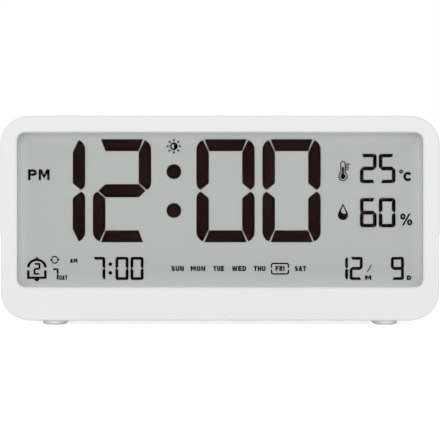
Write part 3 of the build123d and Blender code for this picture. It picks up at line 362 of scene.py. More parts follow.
def letter_loops(letter: str, pen: float, bar: float) -> list[Loop]:
    """A block letter in a cell of one by one, where every number is a share of the cell's width or height.

    Args:
        letter: A capital, a slash or a percent sign.
        pen: The width of an upright stroke, as a share of the cell.
        bar: The height of a level stroke, as a share of the cell.

    Returns:
        The loops.
    """
    half_pen, half_bar, bowl = pen / 2, bar / 2, 0.4
    low_bar, high_bar = 0.5 - half_bar, 0.5 + half_bar
    stem_left, stem_right = 0.5 - half_pen, 0.5 + half_pen
    match letter:
        case "A":
            foot, top, rung = 1.15 * pen, 0.5 - 0.62 * pen, 0.2
            slope = (0.5 - foot) / (1 - bar)
            under, over = foot + slope * rung, foot + slope * (rung + bar)
            legs = [(0, 0), (foot, 0), (under, rung), (1 - under, rung), (1 - foot, 0), (1, 0)]
            hole = [(over, rung + bar), (1 - over, rung + bar), (0.5, 1 - bar)]
            return [legs + [(1 - top, 1), (top, 1)], hole]
        case "C":
            return [band(bow(0.55, 0.5, 0.55 - half_pen, 0.5 - half_bar, 36, 324, 24), pen, bar)]
        case "D":
            return [
                [(0, 0)] + bow(0.5, 0.5, 0.5, 0.5, 270, 450, 16) + [(0, 1)],
                [(pen, bar)] + bow(0.5, 0.5, 0.5 - pen, 0.5 - bar, 270, 450, 16) + [(pen, 1 - bar)],
            ]
        case "E" | "F":
            foot = [(0, 0), (1, 0), (1, bar), (pen, bar)] if letter == "E" else [(0, 0), (pen, 0)]
            tongue = [(pen, low_bar), (0.88, low_bar), (0.88, high_bar), (pen, high_bar)]
            return [foot + tongue + [(pen, 1 - bar), (1, 1 - bar), (1, 1), (0, 1)]]
        case "H":
            lower = [(0, 0), (pen, 0), (pen, low_bar), (1 - pen, low_bar), (1 - pen, 0), (1, 0)]
            return [lower + [(x, 1 - z) for x, z in lower[::-1]]]
        case "I":
            return [oblong(0, 1, 0, 1)]
        case "M":
            slant = 1.3 * pen
            lower = [(0, 0), (pen, 0), (pen, 0.6), (0.5, 0.12), (1 - pen, 0.6), (1 - pen, 0), (1, 0)]
            return [lower + [(1, 1), (1 - slant, 1), (0.5, 0.52), (slant, 1), (0, 1)]]
        case "W":
            left = [(pen, 1), (0, 1), (0.16, 0), (0.16 + pen, 0)]
            right = [(1 - x, z) for x, z in left[::-1]]
            upper = [(0.84 - half_pen, 0.42), (0.58, 0.95), (0.42, 0.95), (0.16 + half_pen, 0.42)]
            return [left + [(0.5, 0.5)] + right + upper]
        case "N":
            left = [(0, 1), (0, 0), (pen, 0), (pen, 0.62), (1 - pen, 0)]
            return [left + [(1 - x, 1 - z) for x, z in left]]
        case "O":
            return hoop(0.5, 0.5, 0.5, 0.5, pen, bar)
        case "P" | "R":
            rise, leg, turn = (1 - bowl) / 2, [], 270
            if letter == "R":
                leg, turn = [(max(0.42, pen + 0.04), bowl), (1 - 1.2 * pen, 0), (1, 0), (0.72, bowl)], 285
            curve = bow(0.6, bowl + rise, 0.4, rise, turn, 450)
            inner = bow(0.6, bowl + rise, 0.4 - pen, rise - bar, 270, 450)
            return [
                [(0, 0), (pen, 0), (pen, bowl)] + leg + curve + [(0, 1)],
                [(pen, bowl + bar)] + inner + [(pen, 1 - bar)],
            ]
        case "S":
            across, up = 0.5 - half_pen, 0.25 - bar / 4
            upper = bow(0.5, 0.5 + up, across, up, 15, 270, 14)
            lower = bow(0.5, 0.5 - up, across, up, 90, -165, 14)
            return [band(upper + lower[1:], pen, bar)]
        case "T":
            stem = [(stem_left, 1 - bar), (stem_left, 0), (stem_right, 0), (stem_right, 1 - bar)]
            return [stem + [(1, 1 - bar), (1, 1), (0, 1), (0, 1 - bar)]]
        case "U":
            round_foot = bow(0.5, 0.35, 0.5 - half_pen, 0.35 - half_bar, 180, 360, 16)
            return [band([(half_pen, 1)] + round_foot + [(1 - half_pen, 1)], pen, bar)]
        case "Y":
            fork, slant = 0.42, min(1.25 * pen, 0.4)
            stem = [(stem_left, fork), (stem_left, 0), (stem_right, 0), (stem_right, fork)]
            return [stem + [(1, 1), (1 - slant, 1), (0.5, fork + bar), (slant, 1), (0, 1)]]
        case "/":
            return [[(0, 0), (pen, 0), (1, 1), (1 - pen, 1)]]
        case "%":
            rings = hoop(0.22, 0.74, 0.22, 0.26, pen, bar) + hoop(0.78, 0.26, 0.22, 0.26, pen, bar)
            return rings + [[(0.13, 0), (0.13 + pen, 0), (0.87, 1), (0.87 - pen, 1)]]
        case _:
            raise ValueError(f"no outline for {letter}")


@dataclass(frozen=True)
class Words:
    """One printed word in block letters and the box that it fills, in millimetres.

    Args:
        text: The letters.
        left: The box's edge at the smaller X.
        right: The box's edge at the larger X.
        low: The box's lower edge.
        high: The box's upper edge.
        pen: The width of a stroke.
        space: The space between letters, as a share of a letter's width.
    """

    text: str
    left: float
    right: float
    low: float
    high: float
    pen: float
    space: float = 0.16

    def loops(self, side: Side) -> list[Loop]:
        """Sets the letters side by side so that they fill the box.

        Args:
            side: The way that the word looks, from where it is read.

        Returns:
            The loops of every letter.
        """
        shares = [LETTER_WIDTHS.get(letter, 1.0) for letter in self.text]
        unit = (self.right - self.left) / (sum(shares) + self.space * (len(shares) - 1))
        height = self.high - self.low
        loops, start = [], 0.0
        for letter, share in zip(self.text, shares):
            width = share * unit
            for loop in letter_loops(letter, min(self.pen / width, WIDEST_STROKE), self.pen / height):
                places = [(start + x * width, self.low + z * height) for x, z in loop]
                if side is Side.FRONT:
                    loops.append([(self.left + x, z) for x, z in places])
                else:
                    loops.append([(self.right - x, z) for x, z in places])
            start += width + self.space * unit
        return loops


# Finishes

# A colour Mix node's sockets by number, because its names are given to several sockets.
MIX_SHARE, MIX_FIRST, MIX_SECOND, MIX_RESULT = 0, 6, 7, 2

# A noise or wave is stretched from these values, between which most of a noise lies.
PATTERN_LOW, PATTERN_HIGH = 0.3, 0.7

# Nearly the length of one wave of a Wave texture whose scale is one.
WAVE_LENGTH = 0.31


@dataclass(frozen=True)
class Finish:
    """What every finish has.

    Args:
        name: The real material.
        colour: Its sRGB hex value.
        roughness: Its roughness.
        ior: Its refractive index.
    """

    name: str
    colour: str
    roughness: float = 0.5
    ior: float = 1.5

    def material(self) -> bpy.types.Material:
        """Builds the material, or returns the one that this finish has built.

        Returns:
            The material.
        """
        found = bpy.data.materials.get(self.name)
        if found:
            return found
        material = bpy.data.materials.new(self.name)
        material.use_nodes = True
        tree = material.node_tree
        tree.nodes.clear()
        output = add_node(tree, "ShaderNodeOutputMaterial")
        place = add_node(tree, "ShaderNodeTexCoord").outputs["Object"]
        tree.links.new(self.surface(tree, place), output.inputs["Surface"])
        return material

    def surface(self, tree: bpy.types.NodeTree, place: bpy.types.NodeSocket) -> bpy.types.NodeSocket:
        """Builds the surface's nodes.

        Args:
            tree: The material's node tree.
            place: The object coordinates.

        Returns:
            The shader's output.
        """
        raise NotImplementedError

    def skin(
        self, tree: bpy.types.NodeTree, tones: tuple[bpy.types.NodeSocket, str, str],
        grain: bpy.types.NodeSocket, depth_mm: float, strength: float = 0.5, swing: float = 0.0,
    ) -> bpy.types.NodeSocket:
        """A whole surface whose colour follows one pattern, and whose relief and gloss follow another.

        Args:
            tree: The material's node tree.
            tones: The pattern of its colour, then the hex values where that is nought and where it is one.
            grain: The pattern of its relief and gloss.
            depth_mm: The height between the low and high places of the relief.
            strength: How strongly the relief shows.
            swing: How far its roughness goes up and down, or nought where it is the same all over.

        Returns:
            The shader's output.
        """
        share, first, second = tones
        colour = add_node(tree, "ShaderNodeMix", {"data_type": "RGBA"}, {
            MIX_SHARE: share, MIX_FIRST: linear(first), MIX_SECOND: linear(second),
        })
        bump = add_node(tree, "ShaderNodeBump", inputs={
            "Height": grain, "Distance": depth_mm * MM, "Strength": strength,
        })
        shader = add_node(tree, "ShaderNodeBsdfPrincipled", inputs={
            "Base Color": colour.outputs[MIX_RESULT], "Roughness": self.roughness,
            "Normal": bump.outputs["Normal"], "IOR": self.ior,
        })
        if swing:
            gloss = add_node(tree, "ShaderNodeMapRange", inputs={
                "Value": grain, "From Min": PATTERN_LOW, "From Max": PATTERN_HIGH,
                "To Min": self.roughness - swing, "To Max": self.roughness + swing,
            })
            tree.links.new(gloss.outputs["Result"], shader.inputs["Roughness"])
        return shader.outputs["BSDF"]


@dataclass(frozen=True)
class MouldedPlastic(Finish):
    """Injection-moulded plastic: a spark-eroded mould leaves a fine even grain that softens highlights.

    Args:
        tint: The colour in its slightly darker clouds.
        cloud_mm: The size of a cloud.
        grain_mm: The size of a grain; a real one is near 0.1 mm, drawn coarser so that it shows.
        grain_depth_mm: The depth of the grain.
        swing: How much its roughness varies.
    """

    tint: str = "E6E6E7"
    cloud_mm: float = 22.0
    grain_mm: float = 0.35
    grain_depth_mm: float = 0.012
    swing: float = 0.06

    def surface(self, tree: bpy.types.NodeTree, place: bpy.types.NodeSocket) -> bpy.types.NodeSocket:
        """Builds a satin plastic with clouded colour and fine grain.

        Args:
            tree: The material's node tree.
            place: The object coordinates.

        Returns:
            The shader's output.
        """
        cloud, grain = (
            add_node(tree, "ShaderNodeTexNoise", inputs={"Vector": place, "Scale": 1 / (size * MM)})
            for size in (self.cloud_mm, self.grain_mm)
        )
        tones = (cloud.outputs["Fac"], self.colour, self.tint)
        return self.skin(tree, tones, grain.outputs["Fac"], self.grain_depth_mm, swing=self.swing)


@dataclass(frozen=True)
class FootRubber(Finish):
    """Moulded silicone rubber, cloudy and light, with painted shade that darkens it where it meets the table.

    Args:
        painted_shade_colour: The colour of its lowest rim, painted shade.
        painted_shade_below_mm: The height at which the painted shade starts.
        dust_mm: The size of a speck of dust; a real one is near 0.1 mm, drawn coarser so that it shows.
        dust_depth_mm: How far it stands out.
        swing: How much the roughness varies.
    """

    painted_shade_colour: str = "ECECEA"
    painted_shade_below_mm: float = 0.6
    dust_mm: float = 0.5
    dust_depth_mm: float = 0.01
    swing: float = 0.1

    def surface(self, tree: bpy.types.NodeTree, place: bpy.types.NodeSocket) -> bpy.types.NodeSocket:
        """Builds a soft rubber with a dusty relief and painted shade near the table.

        Args:
            tree: The material's node tree.
            place: The object coordinates.

        Returns:
            The shader's output.
        """
        axes = add_node(tree, "ShaderNodeSeparateXYZ", inputs={0: place})
        # Painted shade: the colour darkens towards the table, where shade falls at the foot's contact.
        unshaded = add_node(tree, "ShaderNodeMapRange", inputs={
            "Value": axes.outputs["Z"], "From Min": 0.0, "From Max": self.painted_shade_below_mm * MM,
        })
        dust = add_node(tree, "ShaderNodeTexNoise", inputs={
            "Vector": place, "Scale": 1 / (self.dust_mm * MM),
        })
        tones = (unshaded.outputs["Result"], self.painted_shade_colour, self.colour)
        return self.skin(tree, tones, dust.outputs["Fac"], self.dust_depth_mm, swing=self.swing)


@dataclass(frozen=True)
class ClearSheet(Finish):
    """A clear sheet that lets light through to what lies behind it."""

    def surface(self, tree: bpy.types.NodeTree, place: bpy.types.NodeSocket) -> bpy.types.NodeSocket:
        """Builds a glass-like sheet that lamps and soft light pass straight through.

        Args:
            tree: The material's node tree.
            place: The object coordinates, which a clear sheet has no use for.

        Returns:
            The shader's output.
        """
        body = add_node(tree, "ShaderNodeBsdfPrincipled", inputs={
            "Base Color": linear(self.colour), "Transmission Weight": 1.0, "Roughness": self.roughness,
            "IOR": self.ior,
        })
        path = add_node(tree, "ShaderNodeLightPath")
        light = add_node(tree, "ShaderNodeMath", {"operation": "MAXIMUM"}, {
            0: path.outputs["Is Shadow Ray"], 1: path.outputs["Is Diffuse Ray"],
        })
        clear = add_node(tree, "ShaderNodeBsdfTransparent", inputs={"Color": linear(self.colour)})
        mix = add_node(tree, "ShaderNodeMixShader", inputs={
            0: light.outputs[0], 1: body.outputs[0], 2: clear.outputs[0],
        })
        return mix.outputs[0]


@dataclass(frozen=True)
class DisplayGround(Finish):
    """The film behind the liquid crystal: grey-green, matt and faintly grained, with a painted lighter rim
    and a faint painted glow.

    Args:
        painted_light_rim_colour: The colour of its rim, painted lighter to make up for the shade of the
            window's edge.
        fleck: The colour of its grain.
        fleck_mm: The size of a fleck; a real one is near 0.05 mm, drawn coarser so that it shows.
        fleck_share: How much of its colour a fleck brings.
        shine: Its specular level, low because the film is matt.
        painted_glow_colour: The tint of its painted glow.
        glow: How strongly it glows, as painted light.
        half_width_mm: Half the window's width.
        low_mm: The height of the window's lower edge.
        high_mm: The height of its upper edge.
        painted_light_rim_mm: How far the painted lighter rim reaches inwards.
        painted_light_rim_fall: How steeply that painted light falls off.
    """

    painted_light_rim_colour: str = "C6C9C7"
    fleck: str = "949896"
    fleck_mm: float = 0.25
    fleck_share: float = 0.05
    shine: float = 0.1
    painted_glow_colour: str = "F7FFFA"
    glow: float = 0.14
    half_width_mm: float = 69.3
    low_mm: float = 12.95
    high_mm: float = 65.75
    painted_light_rim_mm: float = 8.0
    painted_light_rim_fall: float = 3.0

    def surface(self, tree: bpy.types.NodeTree, place: bpy.types.NodeSocket) -> bpy.types.NodeSocket:
        """Builds a matt ground with a painted lighter rim, a fine grain and a painted glow.

        Args:
            tree: The material's node tree.
            place: The object coordinates.

        Returns:
            The shader's output.
        """
        # Painted light: the colour is lighter near the window's edge, to make up for the shade that the edge
        # casts there.
        axes = add_node(tree, "ShaderNodeSeparateXYZ", inputs={0: place})
        side = add_node(tree, "ShaderNodeMath", {"operation": "ABSOLUTE"}, {0: axes.outputs["X"]})
        from_side, from_top, from_foot = (
            add_node(tree, "ShaderNodeMath", {"operation": "SUBTRACT"}, {0: first, 1: second}).outputs[0]
            for first, second in (
                (self.half_width_mm * MM, side.outputs[0]), (self.high_mm * MM, axes.outputs["Z"]),
                (axes.outputs["Z"], self.low_mm * MM),
            )
        )
        nearest = from_side
        for distance in (from_top, from_foot):
            smaller = add_node(tree, "ShaderNodeMath", {"operation": "MINIMUM"}, {0: nearest, 1: distance})
            nearest = smaller.outputs[0]
        rim = add_node(tree, "ShaderNodeMapRange", inputs={
            "Value": nearest, "From Min": 0.0, "From Max": self.painted_light_rim_mm * MM, "To Min": 1.0, "To Max": 0.0,
        })
        fall = add_node(tree, "ShaderNodeMath", {"operation": "POWER"}, {
            0: rim.outputs["Result"], 1: self.painted_light_rim_fall,
        })
        even = add_node(tree, "ShaderNodeMix", {"data_type": "RGBA"}, {
            MIX_SHARE: fall.outputs[0], MIX_FIRST: linear(self.colour), MIX_SECOND: linear(self.painted_light_rim_colour),
        })
        noise = add_node(tree, "ShaderNodeTexNoise", inputs={
            "Vector": place, "Scale": 1 / (self.fleck_mm * MM),
        })
        flecks = add_node(tree, "ShaderNodeMapRange", inputs={
            "Value": noise.outputs["Fac"], "From Min": PATTERN_LOW, "From Max": PATTERN_HIGH, "To Min": 0.0,
            "To Max": self.fleck_share,
        })
        colour = add_node(tree, "ShaderNodeMix", {"data_type": "RGBA"}, {
            MIX_SHARE: flecks.outputs["Result"], MIX_FIRST: even.outputs[MIX_RESULT],
            MIX_SECOND: linear(self.fleck),
        })
        # The emission is a painted glow: the film is no lamp.
        shader = add_node(tree, "ShaderNodeBsdfPrincipled", inputs={
            "Base Color": colour.outputs[MIX_RESULT], "Roughness": self.roughness, "IOR": self.ior,
            "Specular IOR Level": self.shine, "Emission Color": linear(self.painted_glow_colour),
            "Emission Strength": self.glow,
        })
        return shader.outputs["BSDF"]


@dataclass(frozen=True)
class CrystalBlack(Finish):
    """Switched-on liquid crystal: a warm near-black without a shine of its own.

    Args:
        deep: Its darkest tone.
        cloud_mm: The size of a darker place.
    """

    deep: str = "160706"
    cloud_mm: float = 3.0

    def surface(self, tree: bpy.types.NodeTree, place: bpy.types.NodeSocket) -> bpy.types.NodeSocket:
        """Builds a dark matt layer with a slight unevenness.

        Args:
            tree: The material's node tree.
            place: The object coordinates.

        Returns:
            The shader's output.
        """
        cloud = add_node(tree, "ShaderNodeTexNoise", inputs={
            "Vector": place, "Scale": 1 / (self.cloud_mm * MM),
        })
        colour = add_node(tree, "ShaderNodeMix", {"data_type": "RGBA"}, {
            MIX_SHARE: cloud.outputs["Fac"], MIX_FIRST: linear(self.colour), MIX_SECOND: linear(self.deep),
        })
        shader = add_node(tree, "ShaderNodeBsdfPrincipled", inputs={
            "Base Color": colour.outputs[MIX_RESULT], "Roughness": self.roughness, "IOR": self.ior,
            "Specular IOR Level": 0.0,
        })
        return shader.outputs["BSDF"]


@dataclass(frozen=True)
class PlatedMetal(Finish):
    """Nickel, zinc or tin over another metal: grey, with fine drawn lines.

    Args:
        streak_mm: The width of a drawn line; a real one is near 0.02 mm, drawn coarser so that it shows.
        along: How much longer than wide a line is.
        streak_depth_mm: The depth of a line.
        strength: How strongly the lines show as relief.
        smoother: How far the roughness goes below its own.
        rougher: How far it goes above.
    """

    streak_mm: float = 0.12
    along: float = 12.0
    streak_depth_mm: float = 0.004
    strength: float = 0.3
    smoother: float = 0.08
    rougher: float = 0.1

    def surface(self, tree: bpy.types.NodeTree, place: bpy.types.NodeSocket) -> bpy.types.NodeSocket:
        """Builds a metal with streaks along X.

        Args:
            tree: The material's node tree.
            place: The object coordinates.

        Returns:
            The shader's output.
        """
        drawn = add_node(tree, "ShaderNodeMapping", inputs={
            "Vector": place, "Scale": (1 / self.along, 1.0, 1.0),
        })
        streak = add_node(tree, "ShaderNodeTexNoise", inputs={
            "Vector": drawn.outputs[0], "Scale": 1 / (self.streak_mm * MM),
        })
        gloss = add_node(tree, "ShaderNodeMapRange", inputs={
            "Value": streak.outputs["Fac"], "From Min": PATTERN_LOW, "From Max": PATTERN_HIGH,
            "To Min": self.roughness - self.smoother, "To Max": self.roughness + self.rougher,
        })
        bump = add_node(tree, "ShaderNodeBump", inputs={
            "Height": streak.outputs["Fac"], "Distance": self.streak_depth_mm * MM, "Strength": self.strength,
        })
        shader = add_node(tree, "ShaderNodeBsdfPrincipled", inputs={
            "Base Color": linear(self.colour), "Metallic": 1.0, "Roughness": gloss.outputs["Result"],
            "Normal": bump.outputs["Normal"],
        })
        return shader.outputs["BSDF"]


@dataclass(frozen=True)
class SolderMask(Finish):
    """Green lacquer on a glass-fibre board, raised over its copper tracks.

    Args:
        track: The lighter colour over copper.
        pitch_mm: The distance from one track to the next.
        track_depth_mm: How far a track stands out.
        strength: How strongly that shows.
        bend_mm: The distance over which the tracks turn.
        bend: How far they turn aside, as a wave's phase.
    """

    track: str = "2E7A46"
    pitch_mm: float = 1.27
    track_depth_mm: float = 0.03
    strength: float = 0.4
    bend_mm: float = 14.0
    bend: float = 60.0

    def surface(self, tree: bpy.types.NodeTree, place: bpy.types.NodeSocket) -> bpy.types.NodeSocket:
        """Builds a lacquered board with bent tracks.

        Args:
            tree: The material's node tree.
            place: The object coordinates.

        Returns:
            The shader's output.
        """
        noise = add_node(tree, "ShaderNodeTexNoise", inputs={
            "Vector": place, "Scale": 1 / (self.bend_mm * MM),
        })
        shift = add_node(tree, "ShaderNodeMath", {"operation": "MULTIPLY"}, {
            0: noise.outputs["Fac"], 1: self.bend,
        })
        lines = add_node(tree, "ShaderNodeTexWave", {"bands_direction": "Z"}, {
            "Vector": place, "Scale": WAVE_LENGTH / (self.pitch_mm * MM), "Phase Offset": shift.outputs[0],
        })
        edge = add_node(tree, "ShaderNodeMapRange", inputs={
            "Value": lines.outputs["Fac"], "From Min": PATTERN_LOW, "From Max": PATTERN_HIGH,
        }).outputs["Result"]
        return self.skin(tree, (edge, self.colour, self.track), edge, self.track_depth_mm, self.strength)


@dataclass(frozen=True)
class CellSleeve(Finish):
    """A shrunk plastic sleeve: a plain dark colour with a copper band at the positive end.

    Args:
        band: The band's colour.
        band_from_mm: The band's start from the middle of the bay, towards the nub.
        row_mid_mm: The height between both rows, where the sleeves change direction.
        wrinkle_mm: The size of a wrinkle.
        wrinkle_depth_mm: The depth of a wrinkle.
        strength: How strongly that shows.
        swing: How much the roughness varies.
    """

    band: str = "B7814A"
    band_from_mm: float = 14.5
    row_mid_mm: float = 22.1
    wrinkle_mm: float = 1.6
    wrinkle_depth_mm: float = 0.02
    strength: float = 0.3
    swing: float = 0.05

    def surface(self, tree: bpy.types.NodeTree, place: bpy.types.NodeSocket) -> bpy.types.NodeSocket:
        """Builds a glossy sleeve whose band lies at each cell's own nub.

        Args:
            tree: The material's node tree.
            place: The object coordinates.

        Returns:
            The shader's output.
        """
        axes = add_node(tree, "ShaderNodeSeparateXYZ", inputs={0: place})
        side = add_node(tree, "ShaderNodeMath", {"operation": "SUBTRACT"}, {
            0: self.row_mid_mm * MM, 1: axes.outputs["Z"],
        })
        sign = add_node(tree, "ShaderNodeMath", {"operation": "SIGN"}, {0: side.outputs[0]})
        along = add_node(tree, "ShaderNodeMath", {"operation": "MULTIPLY"}, {
            0: axes.outputs["X"], 1: sign.outputs[0],
        })
        beyond = add_node(tree, "ShaderNodeMath", {"operation": "GREATER_THAN"}, {
            0: along.outputs[0], 1: self.band_from_mm * MM,
        })
        wrinkle = add_node(tree, "ShaderNodeTexNoise", inputs={
            "Vector": place, "Scale": 1 / (self.wrinkle_mm * MM),
        }).outputs["Fac"]
        tones = (beyond.outputs[0], self.colour, self.band)
        return self.skin(tree, tones, wrinkle, self.wrinkle_depth_mm, self.strength, self.swing)


@dataclass(frozen=True)
class StripedSheet(Finish):
    """Material laid in fine parallel stripes, such as contact rubber or a ribbon cable.

    Args:
        stripe: The second colour.
        pitch_mm: The distance from one stripe to the next.
        stripe_depth_mm: How far a stripe stands out.
        strength: How strongly that shows.
    """

    stripe: str = "2A2A2C"
    pitch_mm: float = 0.6
    stripe_depth_mm: float = 0.05
    strength: float = 0.4

    def surface(self, tree: bpy.types.NodeTree, place: bpy.types.NodeSocket) -> bpy.types.NodeSocket:
        """Builds stripes across X.

        Args:
            tree: The material's node tree.
            place: The object coordinates.

        Returns:
            The shader's output.
        """
        lines = add_node(tree, "ShaderNodeTexWave", {"bands_direction": "X"}, {
            "Vector": place, "Scale": WAVE_LENGTH / (self.pitch_mm * MM),
        })
        edge = add_node(tree, "ShaderNodeMapRange", inputs={
            "Value": lines.outputs["Fac"], "From Min": PATTERN_LOW, "From Max": PATTERN_HIGH,
        }).outputs["Result"]
        return self.skin(tree, (edge, self.colour, self.stripe), edge, self.stripe_depth_mm, self.strength)


# ABS from a spark-eroded mould: the case is an even, soft white whose grain spreads every highlight.
CASE_WHITE = MouldedPlastic("white ABS, spark-eroded", "ECECED", 0.46, 1.53, tint="E9E9EA")
# ABS from a plain mould: the display's frame is a flatter, greyer white with a looser grain.
INNER_WHITE = MouldedPlastic("white ABS, plain moulded", "DFDFE0", 0.5, 1.53, tint="DADADB", grain_mm=0.6)
# ABS in light grey with a satin face: the rear keys stand out from the case.
KEY_GREY = MouldedPlastic("light grey ABS, satin", "BFC1C4", 0.42, 1.53, tint="B9BBBE", grain_mm=0.3)
# ABS in pale grey, smoother than the case: the snooze bar has a slightly sharper sheen.
SNOOZE_WHITE = MouldedPlastic("pale grey ABS, satin", "E3E3E5", 0.38, 1.53, tint="E0E0E2", grain_mm=0.3)
# Pad-printing ink, laid thin: the marks by the rear keys are plain grey and matt.
PRINT_GREY = MouldedPlastic(
    "grey pad-printing ink", "7C7E82", 0.6, 1.5, tint="77797D", grain_mm=0.2, grain_depth_mm=0.004,
)
# Nylon, moulded: plungers, switches and the sounder are dark with a dull sheen.
BLACK_NYLON = MouldedPlastic("black nylon, moulded", "1C1C1D", 0.45, 1.53, tint="222223")
# Polyurethane foam, cut from a sheet: the gasket is pitted and has no shine.
WHITE_FOAM = MouldedPlastic(
    "white polyurethane foam", "F2F2F0", 0.95, 1.5, tint="ECECEA", grain_mm=0.5, grain_depth_mm=0.1,
)
# Polyester film with white pigment: diffuser and reflector look like smooth paper.
WHITE_FILM = MouldedPlastic(
    "white polyester film", "F0F0EE", 0.6, 1.57, tint="ECECEA", grain_mm=0.8, grain_depth_mm=0.004,
)
# Epoxy run round both glasses and cured: a waxy, yellowish rim.
SEAL_RESIN = MouldedPlastic("cured epoxy seal", "CFCFC0", 0.35, 1.55, tint="C6C6B6", grain_mm=1.2)
# Epoxy dropped on the bare chip: a glossy black blob with a wavy skin.
CHIP_RESIN = MouldedPlastic(
    "black epoxy drop", "141415", 0.3, 1.55, tint="1B1B1D", grain_mm=1.5, grain_depth_mm=0.03,
)
# Silicone with phosphor in it, cast in the lamp's cup: a smooth yellow face.
LED_BODY = MouldedPlastic("yellow phosphor in silicone", "EADF9A", 0.35, 1.45, tint="E2D48A", grain_mm=0.4)
# Ceramic, fired: the small capacitors are tan, like fine stone.
CERAMIC = MouldedPlastic("tan chip ceramic", "A98C66", 0.4, 1.6, tint="9E825D", grain_mm=0.2)
# Lacquer dipped over a bead: the thermistor is a shiny drop, green so dark that it is almost black.
BEAD = MouldedPlastic("dark lacquered bead", "202820", 0.3, 1.5, tint="182018", grain_mm=0.3)
# Nylon filled with glass, moulded: the humidity sensor's cap is off-white and slightly dull.
SENSOR_BODY = MouldedPlastic("white glass-filled nylon", "E8E8E2", 0.5, 1.53, tint="E0E0DA", grain_mm=0.3)
# PVC, extruded round a wire: the leads have a soft sheen, and their colours tell them apart.
RED_PVC = MouldedPlastic("red PVC insulation", "A81E1C", 0.42, 1.53, tint="9C1A18", grain_mm=0.8)
# The same in black, for the cells' negative lead.
BLACK_PVC = MouldedPlastic("black PVC insulation", "1A1A1B", 0.42, 1.53, tint="212122", grain_mm=0.8)
# The same in grey, for the leads of the sounder and the sensors.
GREY_PVC = MouldedPlastic("grey PVC insulation", "8C8E90", 0.42, 1.53, tint="86888A", grain_mm=0.8)
# Silicone rubber, moulded: the feet are milky, soft and hardly shine, with painted shade where they meet the
# table.
FOOT_SILICONE = FootRubber("cloudy silicone rubber", "FBFBF9", 0.6, 1.41)
# Acrylic, moulded and coated: the coat weakens the mirror image, so the digits behind it stay almost black.
# The index is no real coat's: it is set for that, far below the bare acrylic's 1.49.
LENS_ACRYLIC = ClearSheet("clear acrylic, antireflective coat", "FEFEFE", 0.0, 1.07)
# Float glass with the polarising film bonded on: behind the lens it is as good as unseen. The index is far
# below glass's 1.52, so that its faces don't mirror the lamp over the black digits.
FRONT_PANE = ClearSheet("float glass with bonded film", "FDFEFD", 0.0, 1.02)
# Acrylic, cast and polished: the light guide is clear, and only its edges catch the light.
GUIDE_ACRYLIC = ClearSheet("clear acrylic light guide", "F6F9F8", 0.1, 1.49)
# Film with a fine silvery grain, laminated: it gives the display its grey-green ground, kept even by a
# painted lighter rim and a painted glow.
GROUND = DisplayGround("reflecting polarising film", "A6A8A7", 0.7, 1.5)
# Liquid crystal, switched on: with the films it blocks the light, so it is almost black with a warm tinge.
CRYSTAL = CrystalBlack("switched-on liquid crystal", "1E0907", 0.8, 1.5)
# Nickel over drawn spring steel: springs and cell ends mirror softly, in a slightly yellow grey.
NICKEL = PlatedMetal("nickel-plated spring steel", "C9C6BE", 0.3)
# Zinc over steel: the screws and the crystal's can are a duller, bluer grey.
ZINC = PlatedMetal("zinc-plated steel", "B4B7BA", 0.38)
# Tin over brass, thin: the pins keep a yellow cast.
TINNED = PlatedMetal("tinned brass", "CDB98A", 0.32)
# Lacquer over copper and glass fibre: the boards are green, with lighter tracks that stand a little proud.
BOARD_GREEN = SolderMask("green solder mask", "1F5E35", 0.38, 1.52)
# PVC film, shrunk on: the cells are glossy and dark blue, with a copper band at the nub's end.
SLEEVE = CellSleeve("shrunk PVC sleeve", "1F3A52", 0.25, 1.53)
# Silicone in layers, every second one with carbon: fine dark stripes. Real ones are near 0.1 mm apart, and
# are drawn coarser so that they show.
ZEBRA = StripedSheet("striped silicone contact rubber", "D9A9A0", 0.7, 1.41, stripe="1C1C1E", pitch_mm=0.5)
# PVC moulded round flat wires: pale ribs at the wires' own spacing.
RIBBON = StripedSheet("ribbon cable", "DAD9D4", 0.5, 1.5, stripe="A9A8A2", pitch_mm=1.27)


# Sub-assemblies


def dress_nodes(finishes: dict[str, Finish]) -> list[bpy.types.Object]:
    """Gives CAD nodes their finishes.

    Args:
        finishes: The finish of each node.

    Returns:
        The nodes' objects.
    """
    pieces = []
    for node, finish in finishes.items():
        dress(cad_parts[node], finish.material())
        pieces.append(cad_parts[node])
    return pieces


@dataclass
class CaseShell:
    """The front housing, the rear cover, their screws and the feet.

    Args:
        foot_radius: The radius of a foot, in millimetres.
        foot_height: How far it stands out of the case.
        foot_draw: The share by which it narrows down to the table.
        foot_power: How late that comes on, on the way down.
    """

    foot_radius: float = 4.2
    foot_height: float = 1.5
    foot_draw: float = 0.2
    foot_power: int = 3

    def build(self) -> list[bpy.types.Object]:
        """Makes the smooth copies and dresses them.

        Returns:
            The pieces.
        """
        finishes = {
            "front_housing": ("front_shell", CASE_WHITE), "rear_cover": ("rear_shell", CASE_WHITE),
            "rubber_feet": ("soft_feet", FOOT_SILICONE), "case_screws": ("long_screws", ZINC),
        }
        pieces = []
        for node, (name, finish) in finishes.items():
            piece = smoothed_copy(node, name, CASE_BODY)
            dress(piece, finish.material())
            pieces.append(piece)
            if node == "rubber_feet":
                self.dome(piece)
        return pieces

    def dome(self, feet: bpy.types.Object) -> None:
        """Narrows every foot towards the table, so that its sides are rounded like a shallow dome.

        Args:
            feet: The four feet in one piece.
        """
        low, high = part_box("rubber_feet")
        reach = self.foot_radius * MM
        for vertex in feet.data.vertices:
            middle_x = math.copysign(high.x - reach, vertex.co.x)
            middle_y = (low.y + reach) if vertex.co.y < (low.y + high.y) / 2 else (high.y - reach)
            below = max(0.0, 1 - vertex.co.z / (self.foot_height * MM))
            share = 1 - self.foot_draw * below ** self.foot_power
            vertex.co.x = middle_x + (vertex.co.x - middle_x) * share
            vertex.co.y = middle_y + (vertex.co.y - middle_y) * share
        smooth_shade(feet)


